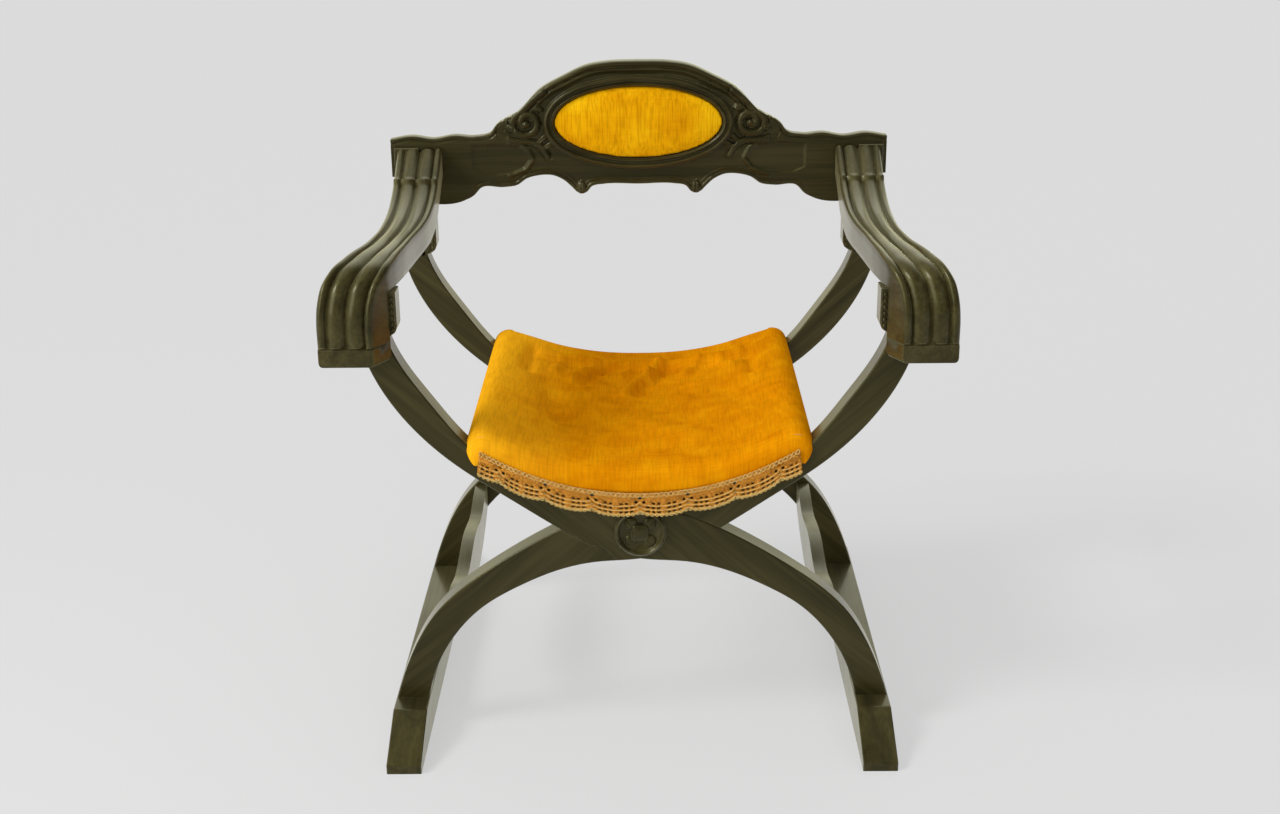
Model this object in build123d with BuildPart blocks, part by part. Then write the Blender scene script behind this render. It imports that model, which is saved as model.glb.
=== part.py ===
from build123d import *
import os
from math import cos, pi, radians, sin

os.makedirs("parts", exist_ok=True)

# Folding X-frame armchair. Millimetres, +Z up, -Y is the front.
# The origin is on the floor, under the middle of the chair.

# ---- main sizes ----
frame_spacing = 370.0       # front X to rear X, same face to same face
member_thick = 30.0         # thickness of the frame members, along Y
pivot_height = 262.0        # pivot axis above the floor
runner_height = 44.0
runner_length = 600.0
runner_inner = 256.5        # inner side of a runner from the middle
runner_width = 40.5
toe_height = 11.0           # upright front of a toe
toe_run = 72.0              # length of the sloping toe
arm_underside = 552.0       # underside of the arms, where the front posts end
crest_seat = 571.0          # bottom of the forks, which carries the crest rail

# ---- frame members: the outline of the right-hand member, from the pivot ----
foot_width = 39.0
foot_offset = 0.5           # foot's inner corner from the runner's inner side
post_inner = 287.0          # inner side of the upright part of a post
post_width = 31.0
waist_half = 36.0           # half the height of the crossing
leg_drawn = 218.0           # runner top to pivot where the leg points hold as given
rise_drawn = 290.0          # pivot to arm underside where the rise points hold as given
edge_round = 2.0            # softened edges of the members
leg_outer_points = [(279.0, -168.0), (243.0, -104.0), (175.0, -46.0), (94.0, 2.0)]
leg_inner_points = [(221.0, -133.0), (184.0, -95.0), (148.0, -73.0), (103.0, -52.5), (50.0, -39.8)]
rise_inner_points = [(103.0, 53.0), (148.0, 73.0), (186.0, 98.0), (237.0, 159.0), (270.0, 209.0)]
rise_outer_points = [(94.0, 3.0), (148.0, 39.0), (212.0, 84.0), (262.0, 133.0), (294.0, 181.0)]

# ---- half laps and pivots ----
lap_gap = 0.3               # between the faces and edges of the half laps
lap_disc = 46.5             # round clearing that lets the lap turn
bolt_radius = 5.0
bolt_running = 0.05         # radial clearance of the bolt in the turning member
bolt_head_radius = 10.0
bolt_head_height = 4.0
bolt_head_clearance = 0.5
washer_radius = 11.0
washer_thick = 2.0
nut_width = 16.0
nut_height = 7.0
bolt_beyond_nut = 2.0
rosette_radius = 30.0
rosette_thick = 8.0
rosette_rim = 5.0
rosette_sink = 3.0          # depth of the dished ring behind the rim
rosette_boss_radius = 9.0

# ---- seat rails and seat ----
rail_radius = 13.0
rail_x = 180.0
rail_above_pivot = 104.0
rail_screw_angle = 40.0     # lean of the rail screws from upright
screw_radius = 2.0
screw_head_radius = 4.5
screw_head_height = 2.5
screw_sink = 1.5            # rail screws sit this far below the rail's top
rail_screw_length = 36.0
soft_gap = 0.3              # soft pieces stay this far from other bodies
sling_thick = 2.0
cover_thick = 4.0
cover_middle_thick = 9.0    # wadding thickens the cover in the middle
sling_sag = 33.0            # from the rails' axis down to the underside of the canvas
sling_leave = 108.0         # where the canvas leaves the rail, degrees from +X
sling_end = -62.0           # where the canvas ends round the rail
sling_overhang = 2.0        # canvas past the frame's faces
cover_overhang_rear = 5.0
cover_overhang_front = 10.0
border_thick = 3.0
border_below_sling = 21.0   # lower edge of the front border at the middle, under the canvas
border_below_rails = 16.0   # the same at the sides, under the middle of the rails
border_half = 180.0
lace_thick = 2.0
lace_depth = 34.0
lace_tuck = 10.0            # how far the lace laps up over the border
tack_count = 9
tack_radius = 0.8
tack_head_radius = 3.5
tack_head_height = 1.2
tack_angle = -38.0
tack_margin = 42.0          # first tack from the frame's outer face
tack_grip = 8.0             # tack in the rail

# ---- arms ----
nose_bottom = 475.0
nose_reach = 32.0           # nose in front of the frame
nose_turn = 520.0           # above this the nose curves back
arm_rear_top = 641.0
arm_rear_depth = 38.0
arm_rear_inner = 256.0
arm_rear_outer = 313.0
arm_front_inner = 291.0
arm_front_outer = 353.0
arm_top_points = [(-28.0, 546.0), (-17.0, 568.0), (0.0, 580.0), (28.0, 585.5), (95.0, 587.0),
                  (170.0, 586.0)]      # depth from the frame's front face, and height
arm_top_rise = [(-145.0, 589.0), (-105.0, 596.0), (-70.0, 607.0), (-40.0, 621.0)]   # from the rear end
arm_under_rise = [(-108.0, 557.0), (-70.0, 569.0), (-40.0, 583.0)]
arm_under_flat = 148.0      # where the underside turns flat, in front of the rear end
arm_outer_points = [(-7.0, 342.0), (12.0, 335.0), (45.0, 325.0), (86.0, 315.5), (134.0, 311.0),
                    (200.0, 310.0)]
arm_inner_points = [(-7.0, 278.0), (20.0, 272.0), (52.0, 268.0), (132.0, 262.0), (200.0, 257.0)]
tenon_long = 18.0
tenon_wide = 14.0
tenon_high = 22.0
tenon_gap = 0.1
arm_plan_margin = 10.0      # how far the plan shape passes over and under the side shape
arm_screw_length = 40.0
arm_screw_drop = 21.0       # from the rear top of the arm

# ---- forks in the rear uprights, and the crest rail ----
fork_cheek = 7.0            # front cheek and rear lip
fork_lip_high = 30.0        # rear lip above the crest's seat
fork_gap = 0.3
crest_half = 323.0
crest_top = 751.0
crest_ear_drop = 49.0       # height of the ear outside the upright
ear_gap = 1.0
dome_points = [(38.0, 750.0), (64.0, 746.0), (97.5, 731.5), (126.0, 716.0), (156.0, 686.5)]
dome_foot = (186.0, 668.0)
shoulder_points = [(213.0, 655.0), (240.0, 656.5), (266.0, 652.5), (296.0, 656.0)]
shoulder_start = (192.0, 660.0)
crest_end_top = 652.0
block_inner = 229.0         # inner end of the crest's deep end block
under_curve = [(217.0, 577.0), (207.0, 587.0)]
under_flat = (178.0, 587.5)
under_hollow = [(160.0, 590.0), (146.0, 599.0), (133.0, 602.5), (112.0, 602.5), (98.0, 596.0), (88.0, 587.0)]
pendant = (75.0, 579.0)
pendant_blunt = 4.5         # half the flat end of a pendant
pendant_inner = (61.0, 588.0)
pendant_root = (47.0, 590.5)
oval_centre = 672.0
oval_half_long = 110.0
oval_half_high = 47.0
ring_width = 14.0
ring_proud = 7.0
field_drop = 2.5            # sunk side panels of the crest
field_points = [(217.0, 643.0), (217.0, 612.0), (190.0, 602.0), (150.0, 611.0), (141.0, 624.0),
                (152.0, 640.0)]
board_margin = 7.0
board_thick = 4.0
board_gap = 0.3
board_screw_count = 6
board_screw_radius = 1.5
board_screw_head = 3.0
board_screw_length = 9.0
pad_proud = 12.0            # crown of the pad in front of the crest
pad_side_round = 8.0

# ---- brackets under the arms ----
bracket_inner = 269.0       # inner edge of a bracket from the middle
bracket_straight = 512.0    # where the bracket's inner edge starts to curve
bracket_foot = 498.0
bead_count = 4
bead_radius = 3.0
bead_pitch = 10.2
bead_first = 515.0
bead_from_edge = 4.0

# ---- lower side stretchers ----
stretcher_outer = 232.0
stretcher_thick = 16.0
stretcher_end_top = 168.0
stretcher_dip = 157.0
stretcher_dip_from_end = 78.0
stretcher_hump = 167.0
stretcher_end_bottom = 138.0
stretcher_middle_bottom = 107.0
stretcher_tenon = 12.0
stretcher_tenon_low = 142.0
stretcher_tenon_high = 154.0
stretcher_tenon_thick = 8.0

# ---- runner joints ----
foot_tenon_long = 20.0
foot_tenon_wide = 14.0
foot_tenon_deep = 18.0
runner_screw_length = 44.0

# ---- places worked out from the sizes above ----
half_depth = (frame_spacing + member_thick) / 2
front_face = -half_depth
rear_face = half_depth
foot_level = runner_height - pivot_height
leg_share = -foot_level / leg_drawn
rise_share = (arm_underside - pivot_height) / rise_drawn
rail_z = pivot_height + rail_above_pivot * rise_share
sling_middle = rail_z - sling_sag
foot_inner = runner_inner + foot_offset
foot_outer = foot_inner + foot_width
post_outer = post_inner + post_width
post_middle = post_inner + post_width / 2
foot_middle = foot_inner + foot_width / 2
arm_under_local = arm_underside - pivot_height
arm_rear_end = half_depth - member_thick
fork_front = rear_face - member_thick + fork_cheek
fork_back = rear_face - fork_cheek
crest_front = fork_front + fork_gap
crest_back = fork_back - fork_gap
crest_thick = crest_back - crest_front
stretcher_middle = stretcher_outer - stretcher_thick / 2
arm_screw_x = post_middle - 2.0
sling_radius = rail_radius + soft_gap
cover_radius = sling_radius + sling_thick + soft_gap
cover_front = front_face - cover_overhang_front
border_middle = sling_middle - border_below_sling
border_side = rail_z - border_below_rails
arm_screw_height = arm_rear_top - arm_screw_drop
border_back = cover_front + border_thick
lace_back = cover_front - soft_gap
pad_half_long = oval_half_long - soft_gap
pad_half_high = oval_half_high - soft_gap
board_half_long = oval_half_long + board_margin
board_half_high = oval_half_high + board_margin
bracket_top = {"front": arm_underside, "rear": crest_seat}
sides = {"right": 1, "left": -1}
frames = {"front": -1, "rear": 1}       # the way that each frame's outer face looks
upwards = (Align.CENTER, Align.CENTER, Align.MIN)
downwards = (Align.CENTER, Align.CENTER, Align.MAX)


def save(piece, name):
    piece.part.label = name
    export_step(piece.part, f"parts/{name}.step")


def facing_front(y):
    """A plane at depth y that looks to the front, with +X to the right and +Z up."""
    return Plane.XZ.offset(-y)


def about_pivot(points, side):
    return [(side * x, pivot_height + z) for x, z in points]


def fit_height(points):
    """Curve points stretched to the height between runner and pivot, or pivot and arm."""
    return [(x, z * (rise_share if z > 0 else leg_share)) for x, z in points]


def draw_member(side, top_z, grow=0.0):
    """Outline of the member that rises to this side and comes down to the other."""
    upper = [(-foot_outer, foot_level)]
    upper += [(-x, z + grow) for x, z in fit_height(leg_outer_points)]
    upper += [(0, waist_half + grow)]
    upper += [(x, z + grow) for x, z in fit_height(rise_inner_points)]
    upper += [(post_inner, arm_under_local)]
    lower = [(-foot_inner, foot_level)]
    lower += [(-x, z - grow) for x, z in fit_height(leg_inner_points)]
    lower += [(0, -waist_half - grow)]
    lower += [(x, z - grow) for x, z in fit_height(rise_outer_points)]
    lower += [(post_outer, arm_under_local)]
    upper = about_pivot(upper, side)
    lower = about_pivot(lower, side)
    top = [(side * post_inner, top_z), (side * post_outer, top_z)]
    with BuildLine() as outline:
        Spline(upper)
        if top_z > arm_underside:
            Polyline(upper[-1], top[0], top[1], lower[-1])
        else:
            Line(upper[-1], lower[-1])
        Spline(lower)
        Line(lower[0], upper[0])
    return outline.line


def rail_screw_plane(side, y):
    """Where a screw enters the top of a seat rail, looking out along the screw."""
    lean = radians(rail_screw_angle)
    out = Vector(-side * sin(lean), 0, cos(lean))
    return Plane(Vector(side * rail_x, y, rail_z) + out * (rail_radius - screw_sink), z_dir=out)


def runner_screw_plane(side, y):
    """Where a screw enters the underside of a runner, looking down."""
    return Plane((side * foot_middle, y, 0), z_dir=(0, 0, -1))


def arm_screw_plane(side):
    """Where a screw enters the front cheek of a fork, looking to the rear."""
    return Plane((side * arm_screw_x, fork_front, arm_screw_height), z_dir=(0, 1, 0))


def make_knuckle(side, top_z, y_back, y_kept):
    """The round part of a half lap that fills the crossing out to the other member's edges."""
    with BuildPart() as knuckle:
        with BuildSketch(facing_front(y_back)):
            add(draw_member(-side, top_z))
            make_face()
        extrude(amount=member_thick)
        fillet(knuckle.edges().filter_by(GeomType.BSPLINE), edge_round)
        with BuildSketch(facing_front(y_kept)):
            with Locations((0, pivot_height)):
                Circle(lap_disc - lap_gap)
        extrude(amount=(member_thick - lap_gap) / 2, mode=Mode.INTERSECT)
    return knuckle.part


def make_member(side, frame_name, name):
    """A frame member, with its half lap, pivot hole, rail saddle, mortises and tenons."""
    outward = frames[frame_name]
    y_back = rear_face if outward > 0 else front_face + member_thick
    y_middle = y_back - member_thick / 2
    y_outer = y_middle + outward * member_thick / 2
    y_inner = y_middle - outward * member_thick / 2
    front_post = frame_name == "front"
    top_z = arm_underside if front_post else arm_rear_top
    keeps_outer_half = side < 0
    loses_front_half = keeps_outer_half == (outward > 0)
    lap_depth = (member_thick + lap_gap) / 2
    lap_back = y_middle + lap_gap / 2 if loses_front_half else y_back
    kept_back = y_back if loses_front_half else y_middle - lap_gap / 2
    pivot = (0, pivot_height)
    with BuildPart() as member:
        with BuildSketch(facing_front(y_back)):
            add(draw_member(side, top_z))
            make_face()
        extrude(amount=member_thick)
        fillet(member.edges().filter_by(GeomType.BSPLINE), edge_round)
        with BuildSketch(facing_front(lap_back)):
            add(draw_member(-side, top_z, lap_gap))
            make_face()
            with Locations(pivot):
                Circle(lap_disc)
        extrude(amount=lap_depth, mode=Mode.SUBTRACT)
        add(make_knuckle(side, top_z, y_back, kept_back))
        with BuildSketch(facing_front(y_back)):
            with Locations(pivot):
                Circle(bolt_radius + (bolt_running if keeps_outer_half else 0))
            with Locations((side * rail_x, rail_z)):
                Circle(rail_radius)
        extrude(amount=member_thick, mode=Mode.SUBTRACT)
        if keeps_outer_half:
            head_room = bolt_head_height + bolt_head_clearance
            with BuildSketch(facing_front(max(y_outer, y_outer - outward * head_room))):
                with Locations(pivot):
                    Circle(bolt_head_radius + bolt_head_clearance)
            extrude(amount=head_room, mode=Mode.SUBTRACT)
        with Locations(rail_screw_plane(side, y_middle)):
            Cylinder(screw_radius, rail_screw_length, align=downwards, mode=Mode.SUBTRACT)
        with Locations((-side * foot_middle, y_middle, runner_height)):
            Box(foot_tenon_wide, foot_tenon_long, foot_tenon_deep, align=downwards)
        with Locations(runner_screw_plane(-side, y_middle)):
            Cylinder(screw_radius, runner_screw_length, align=downwards, mode=Mode.SUBTRACT)
        with Locations((-side * stretcher_middle, y_inner, stretcher_tenon_low)):
            Box(stretcher_tenon_thick, 2 * stretcher_tenon, stretcher_tenon_high - stretcher_tenon_low,
                align=upwards, mode=Mode.SUBTRACT)
        if front_post:
            with Locations((side * post_middle, y_middle, arm_underside)):
                Box(tenon_wide, tenon_long, tenon_high, align=upwards)
        else:
            above_seat = arm_rear_top - crest_seat
            with Locations((side * post_middle, (fork_front + fork_back) / 2, crest_seat)):
                Box(2 * post_width, fork_back - fork_front, above_seat, align=upwards, mode=Mode.SUBTRACT)
            with Locations((side * post_middle, rear_face, crest_seat + fork_lip_high)):
                Box(2 * post_width, 2 * (fork_cheek + fork_gap), above_seat, align=upwards,
                    mode=Mode.SUBTRACT)
            with Locations(arm_screw_plane(side)):
                CounterSinkHole(screw_radius, screw_head_radius, 2 * fork_cheek)
    save(member, name)


def make_runner(side, name):
    half = runner_length / 2
    toe = half - toe_run
    profile = [(-half, 0), (half, 0), (half, toe_height), (toe, runner_height),
               (-toe, runner_height), (-half, toe_height)]
    with BuildPart() as runner:
        with BuildSketch(Plane.YZ.offset(min(side * runner_inner, side * (runner_inner + runner_width)))):
            with BuildLine():
                Polyline(profile, close=True)
            make_face()
        extrude(amount=runner_width)
        chamfer(runner.edges().filter_by(GeomType.LINE).group_by(Axis.Z)[1:], edge_round / 2)
        for outward in frames.values():
            y_middle = outward * (half_depth - member_thick / 2)
            with Locations((side * foot_middle, y_middle, runner_height)):
                Box(foot_tenon_wide + 2 * tenon_gap, foot_tenon_long + 2 * tenon_gap,
                    foot_tenon_deep + tenon_gap, align=downwards, mode=Mode.SUBTRACT)
            with Locations(runner_screw_plane(side, y_middle)):
                CounterSinkHole(screw_radius, screw_head_radius, runner_height)
    save(runner, name)


def make_arm(side, name):
    """An arm: its side shape and its plan shape, crossed."""
    back = arm_rear_end
    top = [(front_face - nose_reach, nose_turn)]
    top += [(front_face + y, z) for y, z in arm_top_points]
    top += [(back + y, z) for y, z in arm_top_rise]
    top += [(back, arm_rear_top)]
    under = [(back - arm_under_flat, arm_underside)]
    under += [(back + y, z) for y, z in arm_under_rise]
    under += [(back, arm_rear_top - arm_rear_depth)]
    outer = [(side * arm_front_outer, front_face - nose_reach)]
    outer += [(side * x, front_face + y) for y, x in arm_outer_points]
    outer += [(side * arm_rear_outer, back)]
    inner = [(side * arm_front_inner, front_face - nose_reach)]
    inner += [(side * x, front_face + y) for y, x in arm_inner_points]
    inner += [(side * arm_rear_inner, back)]
    with BuildPart() as arm:
        with BuildSketch(Plane.YZ):
            with BuildLine():
                Spline(top, tangents=[(0, 1), (1, 0.3)])
                Line(top[-1], under[-1])
                Spline(under, tangents=[(1, 0), (1, 0.3)])
                Polyline(under[0], (front_face, arm_underside), (front_face, nose_bottom),
                         (front_face - nose_reach, nose_bottom), top[0])
            make_face()
        extrude(amount=side * arm_front_outer)
        with BuildSketch(Plane.XY.offset(nose_bottom - arm_plan_margin)):
            with BuildLine():
                Spline(outer)
                Line(outer[-1], inner[-1])
                Spline(inner)
                Line(inner[0], outer[0])
            make_face()
        extrude(amount=arm_rear_top - nose_bottom + 2 * arm_plan_margin, mode=Mode.INTERSECT)
        with Locations((side * post_middle, front_face + member_thick / 2, arm_underside)):
            Box(tenon_wide + 2 * tenon_gap, tenon_long + 2 * tenon_gap, tenon_high + tenon_gap,
                align=upwards, mode=Mode.SUBTRACT)
        with Locations(arm_screw_plane(side)):
            Cylinder(screw_radius, arm_screw_length, align=downwards, mode=Mode.SUBTRACT)
    save(arm, name)


def make_bracket(side, frame_name, name):
    """A beaded bracket on the inner edge of an upright."""
    outward = frames[frame_name]
    y_back = rear_face if outward > 0 else front_face + member_thick
    y_front = y_back - member_thick
    top_z = bracket_top[frame_name] - soft_gap
    post_edge = post_inner + edge_round
    with BuildPart() as bracket:
        with BuildSketch(facing_front(y_back)):
            with BuildLine():
                Polyline((side * post_edge, top_z), (side * bracket_inner, top_z),
                         (side * bracket_inner, bracket_straight))
                Spline((side * bracket_inner, bracket_straight), (side * post_edge, bracket_foot),
                       tangents=[(0, -1), (side * 0.6, -0.8)])
                Line((side * post_edge, bracket_foot), (side * post_edge, top_z))
            make_face()
        extrude(amount=member_thick)
        with BuildSketch(facing_front(y_back)):
            add(draw_member(side, arm_rear_top))
            make_face()
        extrude(amount=member_thick, mode=Mode.SUBTRACT)
        heights = [bead_first + bead_pitch * k for k in range(bead_count)]
        with Locations([(side * (bracket_inner + bead_from_edge), y_front, z) for z in heights]):
            Sphere(bead_radius)
    save(bracket, name)


def make_stretcher(side, name):
    end = half_depth - member_thick
    dip = end - stretcher_dip_from_end
    top = [(-end, stretcher_end_top), (-dip, stretcher_dip), (0, stretcher_hump),
           (dip, stretcher_dip), (end, stretcher_end_top)]
    with BuildPart() as stretcher:
        with BuildSketch(Plane.YZ.offset(side * stretcher_middle - stretcher_thick / 2)):
            with BuildLine():
                Spline(top, tangents=[(1, 0), (1, 0)])
                Line(top[-1], (end, stretcher_end_bottom))
                ThreePointArc((end, stretcher_end_bottom), (0, stretcher_middle_bottom),
                              (-end, stretcher_end_bottom))
                Line((-end, stretcher_end_bottom), top[0])
            make_face()
        extrude(amount=stretcher_thick)
        with Locations((side * stretcher_middle, 0, stretcher_tenon_low + tenon_gap)):
            Box(stretcher_tenon_thick - 2 * tenon_gap, 2 * (end + stretcher_tenon - tenon_gap),
                stretcher_tenon_high - stretcher_tenon_low - 2 * tenon_gap, align=upwards)
    save(stretcher, name)


def make_seat_rail(side, name):
    with BuildPart() as rail:
        with BuildSketch(facing_front(rear_face)):
            with Locations((side * rail_x, rail_z)):
                Circle(rail_radius)
        extrude(amount=2 * half_depth)
        for outward in frames.values():
            with Locations(rail_screw_plane(side, outward * (half_depth - member_thick / 2))):
                CounterSinkHole(screw_radius, screw_head_radius, 2 * rail_radius)
                Cylinder(screw_head_radius, rail_radius, align=upwards, mode=Mode.SUBTRACT)
        for plane in tack_planes(side):
            with Locations(plane):
                Cylinder(tack_radius, tack_grip, align=downwards, mode=Mode.SUBTRACT)
    save(rail, name)


def tack_planes(side):
    """Where the tacks enter a seat rail, below its outer side."""
    angle = radians(tack_angle)
    out = Vector(side * cos(angle), 0, sin(angle))
    span = 2 * (half_depth - tack_margin)
    pitch = span / (tack_count - 1)
    start = -span / 2
    return [Plane(Vector(side * rail_x, start + pitch * k, rail_z) + out * rail_radius, z_dir=out)
            for k in range(tack_count)]


def screw(plane, length):
    """A countersunk wood screw with its head flush at the plane."""
    with Locations(plane):
        Cylinder(screw_radius, length, align=downwards)
        Cone(screw_radius, screw_head_radius, screw_head_height, align=downwards)


def band_points(side, radius, angles):
    return [(side * (rail_x + radius * cos(radians(a))), rail_z + radius * sin(radians(a))) for a in angles]


def draw_sling(radius, thick, middle_low, middle_thick, end_angle):
    """Cross-section of a layer that hangs between the rails and wraps round both of them."""
    turn = (end_angle + sling_leave) / 2
    low = band_points(1, radius, (sling_leave, turn, end_angle))
    high = band_points(1, radius + thick, (sling_leave, turn, end_angle))
    low_left = [(-x, z) for x, z in low]
    high_left = [(-x, z) for x, z in high]
    with BuildLine() as outline:
        ThreePointArc(low_left[0], (0, middle_low), low[0])
        ThreePointArc(*low)
        Line(low[-1], high[-1])
        ThreePointArc(*reversed(high))
        ThreePointArc(high[0], (0, middle_low + middle_thick), high_left[0])
        ThreePointArc(*high_left)
        Line(high_left[-1], low_left[-1])
        ThreePointArc(*reversed(low_left))
    return outline.line


def all_tacks():
    return tack_planes(1) + tack_planes(-1)


def member_notches(top_z):
    """The room that the frame members take, which the seat's layers are cut round."""
    with BuildPart() as room:
        for outward in frames.values():
            y_back = rear_face if outward > 0 else front_face + member_thick
            for side in sides.values():
                with BuildSketch(facing_front(y_back + soft_gap)):
                    add(draw_member(side, top_z, 2 * soft_gap))
                    make_face()
                extrude(amount=member_thick + 2 * soft_gap)
    return room.part


def make_seat():
    notches = member_notches(arm_underside)
    tack_hole_radius = tack_radius + soft_gap
    tack_hole_length = 2 * (cover_radius + cover_thick)
    with BuildPart() as sling:
        with BuildSketch(facing_front(rear_face + sling_overhang)):
            add(draw_sling(sling_radius, sling_thick, sling_middle, sling_thick, sling_end))
            make_face()
        extrude(amount=2 * (half_depth + sling_overhang))
        for plane in all_tacks():
            with Locations(plane):
                Cylinder(tack_hole_radius, tack_hole_length, mode=Mode.SUBTRACT)
        add(notches, mode=Mode.SUBTRACT)
    save(sling, "seat_sling")

    cover_low = sling_middle + sling_thick + soft_gap
    with BuildPart() as cover:
        with BuildSketch(facing_front(rear_face + cover_overhang_rear)):
            add(draw_sling(cover_radius, cover_thick, cover_low, cover_middle_thick, sling_end))
            make_face()
        extrude(amount=rear_face + cover_overhang_rear - cover_front)
        with BuildSketch(facing_front(border_back)):
            with BuildLine():
                seam_x, seam_z = band_points(1, cover_radius + cover_thick / 2, [sling_leave])[0]
                ThreePointArc((-seam_x, seam_z), (0, cover_low + cover_middle_thick / 2), (seam_x, seam_z))
                Line((seam_x, seam_z), (border_half, border_side))
                ThreePointArc((border_half, border_side), (0, border_middle), (-border_half, border_side))
                Line((-border_half, border_side), (-seam_x, seam_z))
            make_face()
        extrude(amount=border_thick)
        for plane in all_tacks():
            with Locations(plane):
                Cylinder(tack_hole_radius, tack_hole_length, mode=Mode.SUBTRACT)
        add(notches, mode=Mode.SUBTRACT)
    save(cover, "seat_cover")

    with BuildPart() as lace:
        with BuildSketch(facing_front(lace_back)):
            with BuildLine():
                low_side = border_side + lace_tuck - lace_depth
                low_middle = border_middle + lace_tuck - lace_depth
                ThreePointArc((-border_half, low_side + lace_depth), (0, low_middle + lace_depth),
                              (border_half, low_side + lace_depth))
                Line((border_half, low_side + lace_depth), (border_half, low_side))
                ThreePointArc((border_half, low_side), (0, low_middle), (-border_half, low_side))
                Line((-border_half, low_side), (-border_half, low_side + lace_depth))
            make_face()
        extrude(amount=lace_thick)
    save(lace, "lace_trim")


def make_tacks(side, name):
    head_seat = cover_radius + cover_thick - rail_radius + soft_gap
    with BuildPart() as tacks:
        for plane in tack_planes(side):
            with Locations(plane):
                Cylinder(tack_radius, tack_grip, align=downwards)
                Cylinder(tack_radius, head_seat, align=upwards)
            with Locations(plane.offset(head_seat)):
                Cone(tack_head_radius, tack_head_radius / 2, tack_head_height, align=upwards)
    save(tacks, name)


def make_pivot(frame_name):
    """Bolt, washer and nut of one crossing, with the rosette that covers the bolt's head."""
    outward = frames[frame_name]
    outer = outward * half_depth
    inner = outer - outward * member_thick
    out = (0, outward, 0)
    head_seat = Plane((0, outer - outward * (bolt_head_height + bolt_head_clearance), pivot_height), z_dir=out)
    nut_seat = Plane((0, inner, pivot_height), z_dir=out)
    grip = member_thick - bolt_head_height - bolt_head_clearance
    beyond = washer_thick + nut_height + bolt_beyond_nut
    with BuildPart() as bolt:
        with Locations(head_seat):
            Cylinder(bolt_radius, grip + beyond, align=downwards)
            Cylinder(bolt_head_radius, bolt_head_height, align=upwards)
    save(bolt, f"{frame_name}_pivot_bolt")
    with BuildPart() as washer:
        with Locations(nut_seat):
            Cylinder(washer_radius, washer_thick, align=downwards)
            Hole(bolt_radius, 2 * washer_thick)
    save(washer, f"{frame_name}_pivot_washer")
    with BuildPart() as nut:
        with BuildSketch(nut_seat.offset(-washer_thick)):
            Rectangle(nut_width, nut_width)
            Circle(bolt_radius, mode=Mode.SUBTRACT)
        extrude(amount=-nut_height)
    save(nut, f"{frame_name}_pivot_nut")
    with BuildPart() as rosette:
        with Locations(Plane((0, outer, pivot_height), z_dir=out)):
            Cylinder(rosette_radius, rosette_thick, align=upwards)
        fillet(rosette.edges().group_by(Axis.Y)[-1 if outward > 0 else 0], edge_round)
        with Locations(Plane((0, outer + outward * rosette_thick, pivot_height), z_dir=out)):
            Cylinder(rosette_radius - rosette_rim, rosette_sink, align=downwards, mode=Mode.SUBTRACT)
        with Locations(Plane((0, outer + outward * (rosette_thick - rosette_sink), pivot_height), z_dir=out)):
            Cylinder(rosette_boss_radius, rosette_sink, align=upwards)
    save(rosette, f"{frame_name}_rosette")


def draw_crest_half(side):
    """Half of the crest rail's outline, from the middle of its top to the middle of its underside."""
    top = [(0, crest_top)] + [(side * x, z) for x, z in dome_points]
    foot = (side * dome_foot[0], dome_foot[1])
    start = (side * shoulder_start[0], shoulder_start[1])
    shoulder = [start] + [(side * x, z) for x, z in shoulder_points] + [(side * crest_half, crest_end_top)]
    ear_in = side * (post_outer + ear_gap)
    ear_low = crest_end_top - crest_ear_drop
    under = [(side * block_inner, crest_seat)] + [(side * x, z) for x, z in under_curve]
    under += [(side * under_flat[0], under_flat[1])]
    hollow = [under[-1]] + [(side * x, z) for x, z in under_hollow]
    hollow += [(side * (pendant[0] + pendant_blunt), pendant[1])]
    with BuildLine() as outline:
        Spline(top + [foot], tangents=[(side, 0), (side * 0.9, -0.5)])
        Line(foot, start)
        Spline(shoulder)
        Polyline(shoulder[-1], (side * crest_half, ear_low), (ear_in, ear_low), (ear_in, crest_seat), under[0])
        Spline(under, tangents=[(-side * 0.4, 0.9), (-side, 0)])
        Spline(hollow, tangents=[(-side, 0), (-side * 0.4, -0.9)])
        Line(hollow[-1], (side * (pendant[0] - pendant_blunt), pendant[1]))
        Spline((side * (pendant[0] - pendant_blunt), pendant[1]), (side * pendant_inner[0], pendant_inner[1]),
               (side * pendant_root[0], pendant_root[1]), tangents=[(-side * 0.5, 0.9), (-side, 0)])
        Polyline((side * pendant_root[0], pendant_root[1]), (0, pendant_root[1]), (0, crest_top))
    return outline.line


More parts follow.
